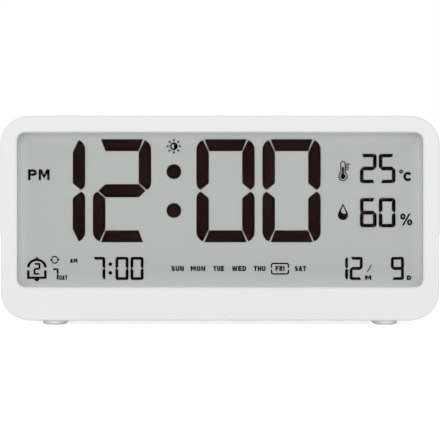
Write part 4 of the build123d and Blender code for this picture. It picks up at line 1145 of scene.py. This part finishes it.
@dataclass
class DisplayStack:
    """The lens, the sheets behind it, the dark digits and the frame that holds them.

    Args:
        finishes: The finish of each CAD node that stays as it is.
        spreads: How far the strokes of each CAD node are widened on every side, in millimetres.
    """

    finishes: dict[str, Finish] = field(default_factory=lambda: {
        "dust_gasket": WHITE_FOAM, "edge_seal": SEAL_RESIN, "rear_glass": GROUND, "rear_polariser": GROUND,
        "diffuser_sheet": WHITE_FILM, "light_guide": GUIDE_ACRYLIC, "reflector_sheet": WHITE_FILM,
        "backlight_board": BOARD_GREEN, "backlight_leds": LED_BODY, "backlight_pins": TINNED,
        "display_frame": INNER_WHITE, "zebra_strip": ZEBRA, "frame_screws": ZINC,
    })
    spreads: dict[str, float] = field(default_factory=lambda: {
        "time_digits": 0.09, "climate_digits": 0.05, "alarm_digits": 0.065, "date_digits": 0.065,
    })

    def build(self) -> list[bpy.types.Object]:
        """Makes the lens, the pane and the digits, and dresses the sheets.

        Returns:
            The pieces.
        """
        lens = smoothed_copy("display_lens", "window_lens", CASE_BODY)
        dress(lens, LENS_ACRYLIC.material())
        digits = [self.spread_digits(node, spread) for node, spread in self.spreads.items()]
        return [lens, self.front_pane()] + digits + dress_nodes(self.finishes)

    def spread_digits(self, node: str, spread: float) -> bpy.types.Object:
        """Digits with strokes as wide as the photograph's, which are a little wider than the CAD's.

        Args:
            node: The CAD node of the digits.
            spread: How far every stroke is widened on each side, in millimetres.

        Returns:
            The digits.
        """
        digits = smoothed_copy(node, node.replace("digits", "segments"), CASE_BODY)
        depths = [vertex.co.y for vertex in digits.data.vertices]
        near, far = min(depths), max(depths)
        select_only(digits)
        bpy.ops.object.mode_set(mode="EDIT")
        bpy.ops.mesh.select_all(action="SELECT")
        bpy.ops.transform.shrink_fatten(value=spread * MM, use_even_offset=True)
        bpy.ops.object.mode_set(mode="OBJECT")
        for vertex in digits.data.vertices:
            vertex.co.y = near if abs(vertex.co.y - near) < abs(vertex.co.y - far) else far
        dress(digits, CRYSTAL.material())
        return digits

    def front_pane(self) -> bpy.types.Object:
        """The front glass with its film, one block because they are bonded without a gap.

        Returns:
            The pane.
        """
        pane = smoothed_copy("front_glass", "front_pane", CASE_BODY)
        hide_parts("front_polariser")
        film_face, glass_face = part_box("front_polariser")[0].y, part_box("front_glass")[0].y
        for vertex in pane.data.vertices:
            if vertex.co.y < glass_face + MERGE_DISTANCE:
                vertex.co.y = film_face
        dress(pane, FRONT_PANE.material())
        return pane


@dataclass
class Legends:
    """The fixed words and symbols of the display, in millimetres, between its two glasses.

    Args:
        words: The words, by the names of their pieces.
        weekdays: The weekdays' names, each with its left and right edge.
        weekday_low: The weekdays' lower edge.
        weekday_high: Their upper edge.
        weekday_pen: The width of their strokes.
        sun: The middle of the sun.
        sun_radius: The radius of its disc.
        sun_stroke: The width of the stroke round the disc's open half.
        rays: The number of its rays.
        ray_from: How far from the middle a ray starts.
        ray_to: How far from the middle it ends in a point.
        ray_half: Half its greatest width.
        bell_x: The middle of the bell.
        bell_spring: The height at which its dome starts.
        bell_half: Half its width.
        bell_rise: The height of its dome.
        bell_stroke: The width of its strokes.
        bell_low: The height of its foot.
        bell_gap_top: The upper end of its base, with a gap between that and the dome.
        bell_knob: The right half of its knob, from its middle and the dome's top.
        bell_knob_turn: The angle between the dome's top and the place where the knob starts.
        bell_top_share: The width of the dome's stroke at its top, as a share of the other strokes'.
        bell_bar_share: The height of the base's bar, as a share of a stroke's width.
        bell_corner: The width of the bevel in the base's corners, and how far above a stroke's width it ends.
        clapper_radius: The radius of its clapper.
        cycle: The middle of the two chasing arrows.
        cycle_radius: Their outer radius.
        cycle_stroke: The width of their strokes.
        cycle_arcs: The first and last angle of each.
        arrow_half: Half the width of an arrow's head.
        arrow_tip: How far its tip lies beyond the middle.
        arrow_back: How far its back lies on this side of it.
        bulb: The middle of the thermometer's bulb.
        bulb_radius: The bulb's radius.
        tube_half: Half the tube's width.
        tube_top: The height of the tube's end.
        tube_stroke: The width of its strokes.
        liquid: The liquid's bulb radius, half its width and its upper end.
        marks: The height, left end and right end of each scale mark.
        mark_half: Half the height of a mark.
        drop: The middle of the drop's round part.
        drop_radius: Its radius.
        drop_tip: The height of its point.
        drop_stroke: The width of its stroke.
        drop_inner_tip: How far the hollow's point lies below the drop's.
        wave_rise: How far the fill's level lies above the middle.
        wave: The fill's surface, from the drop's middle and that level.
        degree: The middle of the degree sign.
        degree_outer: Its outer radius.
        degree_inner: Its inner radius.
        slash: The corners of the stroke between the month and the date.
        friday_box: The left, right, lower and upper edge of the frame round one weekday.
        box_stroke: The width of its stroke.
        box_round: The radius of its corners.
        box_gap: The opening in the middle of each side.
    """

    words: dict[str, Words] = field(default_factory=lambda: {
        "word_pm": Words("PM", -65.91, -58.50, 49.57, 53.29, 0.86, 0.2),
        "word_am": Words("AM", -51.50, -48.93, 21.20, 22.62, 0.42),
        "word_day": Words("DAY", -55.14, -52.40, 15.34, 16.92, 0.37, 0.12),
        "word_celsius": Words("C", 62.95, 65.74, 49.22, 52.43, 0.90),
        "word_percent": Words("%", 61.87, 66.03, 33.99, 38.15, 0.68),
        "word_month": Words("M", 49.80, 51.95, 15.30, 16.88, 0.56),
        "word_date": Words("D", 64.12, 65.65, 15.30, 16.88, 0.54),
    })
    weekdays: dict[str, tuple[str, float, float]] = field(default_factory=lambda: {
        "word_sunday": ("SUN", -16.76, -12.43), "word_monday": ("MON", -10.10, -5.02),
        "word_tuesday": ("TUE", -2.32, 1.39), "word_wednesday": ("WED", 4.13, 9.00),
        "word_thursday": ("THU", 11.54, 15.66), "word_friday": ("FRI", 19.02, 22.17),
        "word_saturday": ("SAT", 25.67, 29.62),
    })
    weekday_low: float = 18.36
    weekday_high: float = 20.12
    weekday_pen: float = 0.47
    sun: Point = (-15.83, 61.21)
    sun_radius: float = 1.33
    sun_stroke: float = 0.52
    rays: int = 8
    ray_from: float = 1.76
    ray_to: float = 2.66
    ray_half: float = 0.4
    bell_x: float = -62.89
    bell_spring: float = 19.65
    bell_half: float = 3.36
    bell_rise: float = 2.95
    bell_stroke: float = 0.86
    bell_low: float = 15.7
    bell_gap_top: float = 18.62
    bell_knob: tuple[Point, ...] = ((0.62, -0.07), (0.4, 0.4), (0.0, 0.6))
    bell_knob_turn: float = 11.0
    bell_top_share: float = 0.92
    bell_bar_share: float = 0.9
    bell_corner: Point = (0.2, 0.1)
    clapper_radius: float = 0.84
    cycle: Point = (-56.73, 22.25)
    cycle_radius: float = 1.34
    cycle_stroke: float = 0.38
    cycle_arcs: tuple[tuple[float, float], ...] = ((30, 165), (210, 345))
    arrow_half: float = 0.54
    arrow_tip: float = 0.68
    arrow_back: float = 0.36
    bulb: Point = (42.22, 50.87)
    bulb_radius: float = 1.62
    tube_half: float = 0.92
    tube_top: float = 56.2
    tube_stroke: float = 0.36
    liquid: tuple[float, float, float] = (0.92, 0.34, 54.2)
    marks: tuple[tuple[float, float, float], ...] = (
        (55.1, 43.2, 44.6), (54.45, 43.2, 44.15), (53.8, 43.2, 44.35), (53.15, 43.2, 44.0),
    )
    mark_half: float = 0.19
    drop: Point = (42.20, 37.65)
    drop_radius: float = 1.78
    drop_tip: float = 41.59
    drop_stroke: float = 0.42
    drop_inner_tip: float = 0.8
    wave_rise: float = 0.95
    wave: tuple[Point, ...] = ((1.12, -0.35), (0.7, -0.62), (0.2, -0.5), (-0.25, -0.12), (-0.7, 0.05))
    degree: Point = (62.19, 52.54)
    degree_outer: float = 0.68
    degree_inner: float = 0.21
    slash: tuple[Point, ...] = ((50.36, 18.03), (50.74, 18.03), (52.16, 20.53), (51.78, 20.53))
    friday_box: tuple[float, float, float, float] = (17.46, 23.75, 17.14, 21.24)
    box_stroke: float = 0.5
    box_round: float = 0.9
    box_gap: float = 0.66

    def build(self) -> list[bpy.types.Object]:
        """Makes every word and symbol.

        Returns:
            The pieces.
        """
        low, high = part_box("time_digits")
        near, far = low[1] / MM, high[1] / MM
        words = self.words | {
            name: Words(text, left, right, self.weekday_low, self.weekday_high, self.weekday_pen)
            for name, (text, left, right) in self.weekdays.items()
        }
        drawings = {name: word.loops(Side.FRONT) for name, word in words.items()} | {
            "symbol_sun": self.sun_loops(), "symbol_bell": self.bell_loops(),
            "symbol_cycle": self.cycle_loops(), "symbol_thermometer": self.thermometer_loops(),
            "symbol_drop": self.drop_loops(), "symbol_degree": self.degree_loops(),
            "symbol_friday_box": self.box_loops(), "symbol_slash": [list(self.slash)],
        }
        pieces = [flat_piece(name, loops, Side.FRONT, near, far) for name, loops in drawings.items()]
        for piece in pieces:
            dress(piece, CRYSTAL.material())
            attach(piece, CASE_BODY)
        return pieces

    def sun_loops(self) -> list[Loop]:
        """A disc whose left half is open, with short rays all round.

        Returns:
            The loops.
        """
        x, z = self.sun
        loops = [full_circle(x, z, self.sun_radius), arc(x, z, self.sun_radius - self.sun_stroke, 90, 270)]
        widest = self.ray_from + (self.ray_to - self.ray_from) / 3
        ray = [
            (self.ray_from, self.ray_half / 2), (self.ray_from, -self.ray_half / 2), (widest, -self.ray_half),
            (self.ray_to, 0), (widest, self.ray_half),
        ]
        for step in range(self.rays):
            cosine, sine = math.cos(math.tau * step / self.rays), math.sin(math.tau * step / self.rays)
            loops.append([
                (x + out * cosine - across * sine, z + out * sine + across * cosine) for out, across in ray
            ])
        return loops

    def bell_loops(self) -> list[Loop]:
        """A dome, a knob above, an open base with its bar and a clapper below.

        Returns:
            The loops.
        """
        x, half, stroke, low = self.bell_x, self.bell_half, self.bell_stroke, self.bell_low
        spring, rise, inner = self.bell_spring, self.bell_rise, half - stroke
        right, left = (0, 90 - self.bell_knob_turn), (90 + self.bell_knob_turn, 180)
        knob = mirrored(x, [(out, spring + rise + up) for out, up in self.bell_knob])
        dome = bow(x, spring, half, rise, *right, 14) + knob + bow(x, spring, half, rise, *left, 14)
        hollow = bow(x, spring, inner, rise - self.bell_top_share * stroke, 180, 0, 28)
        corner_across, corner_up = self.bell_corner
        base = mirrored(x, [
            (half, low), (half, self.bell_gap_top), (inner, self.bell_gap_top),
            (inner, low + stroke + corner_up), (inner - corner_across, low + self.bell_bar_share * stroke),
        ])
        return [dome + hollow, base + arc(x, low, self.clapper_radius, 180, 360)]

    def cycle_loops(self) -> list[Loop]:
        """Two arcs that chase each other, each with an arrow head.

        Returns:
            The loops.
        """
        x, z = self.cycle
        outer, inner = self.cycle_radius, self.cycle_radius - self.cycle_stroke
        loops = [ring(x, z, outer, inner, start, stop) for start, stop in self.cycle_arcs]
        for side in (-1, 1):
            middle, back = x + side * (outer + inner) / 2, z + side * self.arrow_back
            loops.append([
                (middle - side * self.arrow_half, back), (middle, z - side * self.arrow_tip),
                (middle + side * self.arrow_half, back),
            ])
        return loops

    def thermometer_loops(self) -> list[Loop]:
        """A bulb and tube in outline, the liquid inside and the scale marks.

        Returns:
            The loops.
        """
        stroke = self.tube_stroke
        outer = self.bulb_and_tube(self.bulb_radius, self.tube_half, self.tube_top)
        inner = self.bulb_and_tube(self.bulb_radius - stroke, self.tube_half - stroke, self.tube_top - stroke)
        marks = [oblong(left, right, z - self.mark_half, z + self.mark_half) for z, left, right in self.marks]
        return [outer, inner, self.bulb_and_tube(*self.liquid)] + marks

    def bulb_and_tube(self, radius: float, half: float, top: float) -> Loop:
        """A round bulb with a round-topped tube above.

        Args:
            radius: The bulb's radius.
            half: Half the tube's width.
            top: The height of the tube's round end.

        Returns:
            One closed loop.
        """
        x, z = self.bulb
        meet = math.degrees(math.acos(half / radius))
        return arc(x, z, radius, 180 - meet, 360 + meet, 40) + arc(x, top - half, half, 0, 180, 12)

    def drop_loops(self) -> list[Loop]:
        """A drop in outline whose lower half is filled to a wave.

        Returns:
            The loops.
        """
        outer = self.drop_outline(self.drop_radius, self.drop_tip)
        hollow = self.drop_outline(self.drop_radius - self.drop_stroke, self.drop_tip - self.drop_inner_tip)
        x, level = self.drop[0], self.drop[1] + self.wave_rise
        left, right = min(point[0] for point in hollow), max(point[0] for point in hollow)
        upper = [point for point in hollow if point[1] > level]
        upper.sort(key=lambda point: -math.atan2(point[1] - level, point[0] - x))
        return [outer, upper + [(min(max(x + out, left), right), level + up) for out, up in self.wave]]

    def drop_outline(self, radius: float, tip: float) -> Loop:
        """A circle drawn out to a point above.

        Args:
            radius: The circle's radius.
            tip: The height of the point.

        Returns:
            One closed loop that starts at the point.
        """
        x, z = self.drop
        meet = math.degrees(math.acos(radius / (tip - z)))
        return [(x, tip)] + arc(x, z, radius, 90 - meet, 90 + meet - 360, 44)

    def degree_loops(self) -> list[Loop]:
        """A small ring."""
        return [full_circle(*self.degree, self.degree_outer), full_circle(*self.degree, self.degree_inner)]

    def box_loops(self) -> list[Loop]:
        """A rounded frame round one day's word, open at the middle of both sides.

        Returns:
            The loops.
        """
        left, right, low, high = self.friday_box
        stroke, radius = self.box_stroke, self.box_round
        loops = []
        for up, edge, turns in ((1, high, ((180, 90), (90, 0))), (-1, low, ((180, 270), (270, 360)))):
            outer, inner = (
                arc(left + radius, edge - up * radius, bend, *turns[0], 8)
                + arc(right - radius, edge - up * radius, bend, *turns[1], 8)
                for bend in (radius, radius - stroke)
            )
            end = (low + high) / 2 + up * self.box_gap / 2
            loops.append([
                (left, end), *outer, (right, end), (right - stroke, end), *inner[::-1], (left + stroke, end),
            ])
        return loops


@dataclass
class KeySet:
    """The snooze bar, the five rear keys, their switches and the marks printed beside them, in millimetres.

    Args:
        names: The rear keys, from the smaller X.
        pitch: The distance from one key to the next.
        mark_low: The marks' lower edge.
        mark_high: Their upper edge.
        mark_pen: The width of their strokes.
        mode_half: Half the width of the word by the mode key.
        unit_half: Half the width of the word by the unit key.
        arrow_half: Half the width of the marks by the up and down keys.
        bell_skirt: The left half of the small bell's skirt, from its middle and the marks' lower edge.
        bell_dome: The radius of its dome and the height at which it starts.
        bell_clapper: The radius of its clapper and the height of the clapper's flat side.
        ink_depth: How far the ink stands out, and how far it reaches into the cover.
    """

    names: tuple[str, ...] = ("mode", "up", "down", "alarm", "unit")
    pitch: float = 16.0
    mark_low: float = 64.6
    mark_high: float = 66.5
    mark_pen: float = 0.3
    mode_half: float = 3.4
    unit_half: float = 2.2
    arrow_half: float = 1.2
    bell_skirt: tuple[Point, ...] = ((-0.8, 0.75), (-1.15, 0.35))
    bell_dome: Point = (0.8, 0.95)
    bell_clapper: Point = (0.3, 0.25)
    ink_depth: float = 0.03

    def build(self) -> list[bpy.types.Object]:
        """Makes smooth keys, dresses their switches and prints the marks.

        Returns:
            The pieces.
        """
        snooze = smoothed_copy("snooze_key", "snooze_bar", "snooze_button")
        dress(snooze, SNOOZE_WHITE.material())
        pieces = [snooze]
        for name in self.names:
            key = smoothed_copy(f"{name}_key", f"{name}_push_key", f"{name}_button")
            dress(key, KEY_GREY.material())
            pieces.append(key)
        inner = {f"{name}_plunger": BLACK_NYLON for name in self.names}
        inner |= {
            "snooze_plunger": BLACK_NYLON, "snooze_switch": BLACK_NYLON, "key_switches": BLACK_NYLON,
            "key_board": BOARD_GREEN, "key_ribbon": RIBBON, "rear_board_screws": ZINC,
        }
        return pieces + dress_nodes(inner) + self.marks()

    def marks(self) -> list[bpy.types.Object]:
        """Prints a plain mark above each rear key.

        Returns:
            The marks.
        """
        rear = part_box("rear_cover")[1][1] / MM
        near, far = rear + self.ink_depth, rear - self.ink_depth
        middle = len(self.names) // 2
        mode, up, down, alarm, unit = ((index - middle) * self.pitch for index in range(len(self.names)))
        low, high, pen, half = self.mark_low, self.mark_high, self.mark_pen, self.arrow_half
        mode_word = Words("MODE", mode - self.mode_half, mode + self.mode_half, low, high, pen)
        unit_word = Words("C/F", unit - self.unit_half, unit + self.unit_half, low, high, pen)
        drawings = {
            "mark_mode": mode_word.loops(Side.REAR), "mark_unit": unit_word.loops(Side.REAR),
            "mark_up": [[(up - half, low), (up + half, low), (up, high)]],
            "mark_down": [[(down - half, high), (down, low), (down + half, high)]],
            "mark_alarm": self.small_bell(alarm),
        }
        pieces = [flat_piece(name, loops, Side.REAR, near, far) for name, loops in drawings.items()]
        for piece in pieces:
            dress(piece, PRINT_GREY.material())
            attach(piece, CASE_BODY)
        return pieces

    def small_bell(self, x: float) -> list[Loop]:
        """A small filled bell.

        Args:
            x: Its middle.

        Returns:
            The loops.
        """
        radius, spring = self.bell_dome
        clapper_radius, clapper_top = self.bell_clapper
        dome = arc(x, self.mark_low + spring, radius, 0, 180, 16)
        skirt = mirrored(x, [(out, self.mark_low + up) for out, up in self.bell_skirt])
        return [dome + skirt, arc(x, self.mark_low + clapper_top, clapper_radius, 180, 360, 10)]


@dataclass
class PowerPack:
    """The two cells with their springs and contacts, and the door over them, in millimetres.

    Args:
        cell_length: The length of a cell with its nub.
        facets: The number of faces round a cell.
        sleeve_rim: How far the sleeve is shrunk over a cell's ends.
        rim_round: The radius of that rim's edge.
        recess: How far the metal lies below the rim.
        border: How far past the rim a face is still sleeve.
        nub_radius: The radius of the nub.
        nub_height: How far it stands out of the sleeve.
        nub_round: The width of its bevel.
        arrow_half: The radius of the door's arrow.
        arrow_height: The height that is kept for it.
        arrow_drop: How far that lies below the door's upper edge.
        arrow_rise: How far the arrow stands out.
        arrow_round: The width of its bevel.
    """

    cell_length: float = 44.5
    facets: int = 56
    sleeve_rim: float = 0.9
    rim_round: float = 0.4
    recess: float = 0.2
    border: float = 0.02
    nub_radius: float = 1.9
    nub_height: float = 1.0
    nub_round: float = 0.15
    arrow_half: float = 2.2
    arrow_height: float = 2.4
    arrow_drop: float = 17.6
    arrow_rise: float = 0.2
    arrow_round: float = 0.12

    def build(self) -> list[bpy.types.Object]:
        """Makes the cells, the door and its arrow, and dresses the contacts.

        Returns:
            The pieces.
        """
        door = smoothed_copy("battery_door", "bay_door", "battery_lid")
        dress(door, CASE_WHITE.material())
        nodes = dress_nodes({
            "battery_springs": NICKEL, "battery_contacts": NICKEL, "positive_lead": RED_PVC,
            "negative_lead": BLACK_PVC,
        })
        return [door, self.door_arrow()] + self.cells() + nodes

    def door_arrow(self) -> bpy.types.Object:
        """A raised arrow under the door's grip grooves that points the way it opens.

        Returns:
            The arrow.
        """
        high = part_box("battery_door")[1]
        middle = high[2] / MM - self.arrow_drop - self.arrow_height / 2
        bpy.ops.object.select_all(action="DESELECT")
        bpy.ops.mesh.primitive_cylinder_add(
            vertices=3, radius=self.arrow_half * MM, depth=2 * self.arrow_rise * MM,
            location=(0, high[1], middle * MM), rotation=(math.radians(90), 0, 0),
        )
        arrow = bpy.context.view_layer.objects.active
        arrow.name = arrow.data.name = "door_arrow"
        bpy.ops.object.transform_apply(location=True, rotation=True, scale=True)
        bevel = arrow.modifiers.new("soft rim", "BEVEL")
        bevel.width, bevel.segments = self.arrow_round * MM, 2
        bpy.ops.object.modifier_apply(modifier=bevel.name)
        close_and_face_out(arrow)
        smooth_shade(arrow)
        dress(arrow, CASE_WHITE.material())
        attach(arrow, "battery_lid")
        return arrow

    def cells(self) -> list[bpy.types.Object]:
        """Models one cell in its sleeve and copies it for the other row, turned about.

        Returns:
            Both cells.
        """
        low, high = (Vector(corner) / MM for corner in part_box("battery_cells"))
        radius, y, reach = (high.y - low.y) / 2, (low.y + high.y) / 2, self.cell_length / 2
        first = self.one_cell(radius)
        second = first.copy()
        second.data = first.data.copy()
        bpy.context.scene.collection.objects.link(second)
        first.data.transform(Matrix.Translation(Vector((high.x - reach, y, low.z + radius)) * MM))
        turn = Matrix.Rotation(math.pi, 4, "Z")
        second.data.transform(Matrix.Translation(Vector((low.x + reach, y, high.z - radius)) * MM) @ turn)
        for piece, name in ((first, "cell_lower"), (second, "cell_upper")):
            piece.name = piece.data.name = name
            dress(piece, SLEEVE.material(), NICKEL.material())
            smooth_shade(piece)
            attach(piece, CASE_BODY)
        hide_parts("battery_cells")
        return [first, second]

    def one_cell(self, radius: float) -> bpy.types.Object:
        """Models a cell along X about the origin, its nub towards +X.

        Args:
            radius: The cell's radius, in millimetres.

        Returns:
            The cell.
        """
        bpy.ops.object.select_all(action="DESELECT")
        bpy.ops.mesh.primitive_cylinder_add(
            vertices=self.facets, radius=radius * MM, depth=(self.cell_length - self.nub_height) * MM,
            location=(-self.nub_height / 2 * MM, 0, 0), rotation=(0, math.radians(90), 0),
        )
        cell = bpy.context.view_layer.objects.active
        bpy.ops.object.transform_apply(location=True, rotation=True, scale=True)
        bevel = cell.modifiers.new("sleeve rim", "BEVEL")
        bevel.width, bevel.segments, bevel.limit_method = self.rim_round * MM, 3, "ANGLE"
        bpy.ops.object.modifier_apply(modifier=bevel.name)
        bpy.ops.object.mode_set(mode="EDIT")
        bpy.ops.mesh.select_mode(type="FACE")
        for side in (-1, 1):
            self.pick_end(cell, side)
            bpy.ops.mesh.inset(thickness=(self.sleeve_rim - self.rim_round) * MM)
            sunk = (-side * self.recess * MM, 0, 0)
            bpy.ops.mesh.extrude_region_move(TRANSFORM_OT_translate={"value": sunk})
            if side == 1:
                bpy.ops.mesh.inset(thickness=(radius - self.sleeve_rim - self.nub_radius) * MM)
                raised = ((self.nub_height + self.recess - self.nub_round) * MM, 0, 0)
                bpy.ops.mesh.extrude_region_move(TRANSFORM_OT_translate={"value": raised})
                bpy.ops.mesh.inset(thickness=self.nub_round * MM)
                bpy.ops.transform.translate(value=(self.nub_round * MM, 0, 0))
        bpy.ops.object.mode_set(mode="OBJECT")
        bare = (radius - self.sleeve_rim + self.border) * MM
        for face in cell.data.polygons:
            face.material_index = 1 if math.hypot(face.center.y, face.center.z) < bare else 0
        return cell

    def pick_end(self, cell: bpy.types.Object, side: int) -> None:
        """Selects the flat face at one end of a cell in edit mode.

        Args:
            cell: The cell.
            side: One for the nub's end and minus one for the other.
        """
        bpy.ops.mesh.select_all(action="DESELECT")
        bpy.ops.object.mode_set(mode="OBJECT")
        ends = [face for face in cell.data.polygons if face.normal.x * side > STRAIGHT]
        max(ends, key=lambda face: face.area).select = True
        bpy.ops.object.mode_set(mode="EDIT")


@dataclass
class Electronics:
    """The main board with its parts, the sounder and the air sensors.

    Args:
        finishes: The finish of each CAD node.
    """

    finishes: dict[str, Finish] = field(default_factory=lambda: {
        "main_board": BOARD_GREEN, "board_screws": ZINC, "display_chip": CHIP_RESIN, "watch_crystal": ZINC,
        "board_capacitors": CERAMIC, "sounder": BLACK_NYLON, "sounder_leads": GREY_PVC,
        "sensor_board": BOARD_GREEN, "humidity_sensor": SENSOR_BODY, "thermistor": BEAD,
        "sensor_leads": GREY_PVC,
    })

    def build(self) -> list[bpy.types.Object]:
        """Dresses the electronics."""
        return dress_nodes(self.finishes)


@dataclass
class Studio:
    """The pale floor, the white surroundings, the soft lamp and the camera, in millimetres.

    Args:
        floor_size: The floor's width and depth.
        floor_lift: The light that the floor gives to the eye alone, so that it is white but keeps the shadow.
        ambient: The strength of the light from all round.
        lamp_place: The lamp's place.
        lamp_size: Its width and height.
        lamp_power: Its power in watts.
        front_face: The depth of the clock's front face.
        distance: How far in front of that the camera stands.
        eye_height: The camera's height.
        half_view: Half the width that the camera sees at the front face.
        sensor: The width of the camera's sensor.
    """

    floor_size: float = 9000.0
    floor_lift: float = 0.78
    ambient: float = 0.66
    lamp_place: tuple[float, float, float] = (-80.0, -1700.0, 300.0)
    lamp_size: float = 1300.0
    lamp_power: float = 12.5
    front_face: float = -18.0
    distance: float = 735.0
    eye_height: float = 35.9
    half_view: float = 75.05
    sensor: float = 36.0

    def build(self) -> None:
        """Sets up everything round the clock."""
        self.floor()
        self.surroundings()
        self.lamp()
        self.camera()
        bpy.context.scene.view_settings.view_transform = "Standard"

    def seen(self, tree: bpy.types.NodeTree) -> bpy.types.NodeSocket:
        """One for rays from the camera and those that mirrors or clear sheets pass on, else nought.

        Args:
            tree: The node tree that it goes in.

        Returns:
            One for these three kinds of ray, and nought for the others.
        """
        path = add_node(tree, "ShaderNodeLightPath")
        pair = add_node(tree, "ShaderNodeMath", {"operation": "MAXIMUM"}, {
            0: path.outputs["Is Camera Ray"], 1: path.outputs["Is Glossy Ray"],
        })
        return add_node(tree, "ShaderNodeMath", {"operation": "MAXIMUM"}, {
            0: pair.outputs[0], 1: path.outputs["Is Transmission Ray"],
        }).outputs[0]

    def floor(self) -> None:
        """A white floor that keeps the clock's soft shadow."""
        bpy.ops.object.select_all(action="DESELECT")
        bpy.ops.mesh.primitive_plane_add(size=self.floor_size * MM, location=(0, 0, 0))
        floor = bpy.context.view_layer.objects.active
        floor.name = floor.data.name = "studio_floor"
        material = bpy.data.materials.new("white studio card")
        material.use_nodes = True
        tree = material.node_tree
        tree.nodes.clear()
        card = add_node(tree, "ShaderNodeBsdfDiffuse", inputs={"Color": linear("FAFAFA")})
        glow = add_node(tree, "ShaderNodeEmission", inputs={"Color": WHITE, "Strength": self.floor_lift})
        dark = add_node(tree, "ShaderNodeEmission", inputs={"Strength": 0.0})
        lift = add_node(tree, "ShaderNodeMixShader", inputs={
            0: self.seen(tree), 1: dark.outputs[0], 2: glow.outputs[0],
        })
        both = add_node(tree, "ShaderNodeAddShader", inputs={0: card.outputs[0], 1: lift.outputs[0]})
        add_node(tree, "ShaderNodeOutputMaterial", inputs={"Surface": both.outputs[0]})
        dress(floor, material)

    def surroundings(self) -> None:
        """White all round to the eye, and an even soft light on the clock."""
        world = bpy.data.worlds.new("white studio")
        bpy.context.scene.world = world
        world.use_nodes = True
        tree = world.node_tree
        tree.nodes.clear()
        soft = add_node(tree, "ShaderNodeBackground", inputs={"Color": WHITE, "Strength": self.ambient})
        white = add_node(tree, "ShaderNodeBackground", inputs={"Color": WHITE, "Strength": 1.0})
        mix = add_node(tree, "ShaderNodeMixShader", inputs={
            0: self.seen(tree), 1: soft.outputs[0], 2: white.outputs[0],
        })
        add_node(tree, "ShaderNodeOutputWorld", inputs={"Surface": mix.outputs[0]})

    def lamp(self) -> None:
        """A large square lamp behind the camera, above it and a little to its left."""
        place = Vector(self.lamp_place) * MM
        bpy.ops.object.select_all(action="DESELECT")
        bpy.ops.object.light_add(type="AREA", location=place)
        lamp = bpy.context.view_layer.objects.active
        lamp.name = "soft_box"
        lamp.data.size = self.lamp_size * MM
        lamp.data.energy = self.lamp_power
        lamp.rotation_euler = (-place).to_track_quat("-Z", "Y").to_euler()

    def camera(self) -> None:
        """A level camera square to the clock's face."""
        place = Vector((0, self.front_face - self.distance, self.eye_height)) * MM
        bpy.ops.object.select_all(action="DESELECT")
        bpy.ops.object.camera_add(location=place, rotation=(math.radians(90), 0, 0))
        camera = bpy.context.view_layer.objects.active
        camera.name = "photo_camera"
        camera.data.sensor_width = self.sensor
        camera.data.lens = self.sensor / 2 * self.distance / self.half_view
        bpy.context.scene.camera = camera


def main() -> None:
    """Builds and dresses every sub-assembly in order and reports its pieces."""
    logging.basicConfig(level=logging.INFO, format="%(message)s", stream=sys.stdout)
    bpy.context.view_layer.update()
    for assembly in (CaseShell(), DisplayStack(), Legends(), KeySet(), PowerPack(), Electronics()):
        for piece in assembly.build():
            log.info("%s: %s, %d faces", type(assembly).__name__, piece.name, len(piece.data.polygons))
    Studio().build()


if __name__ == "__main__":
    main()
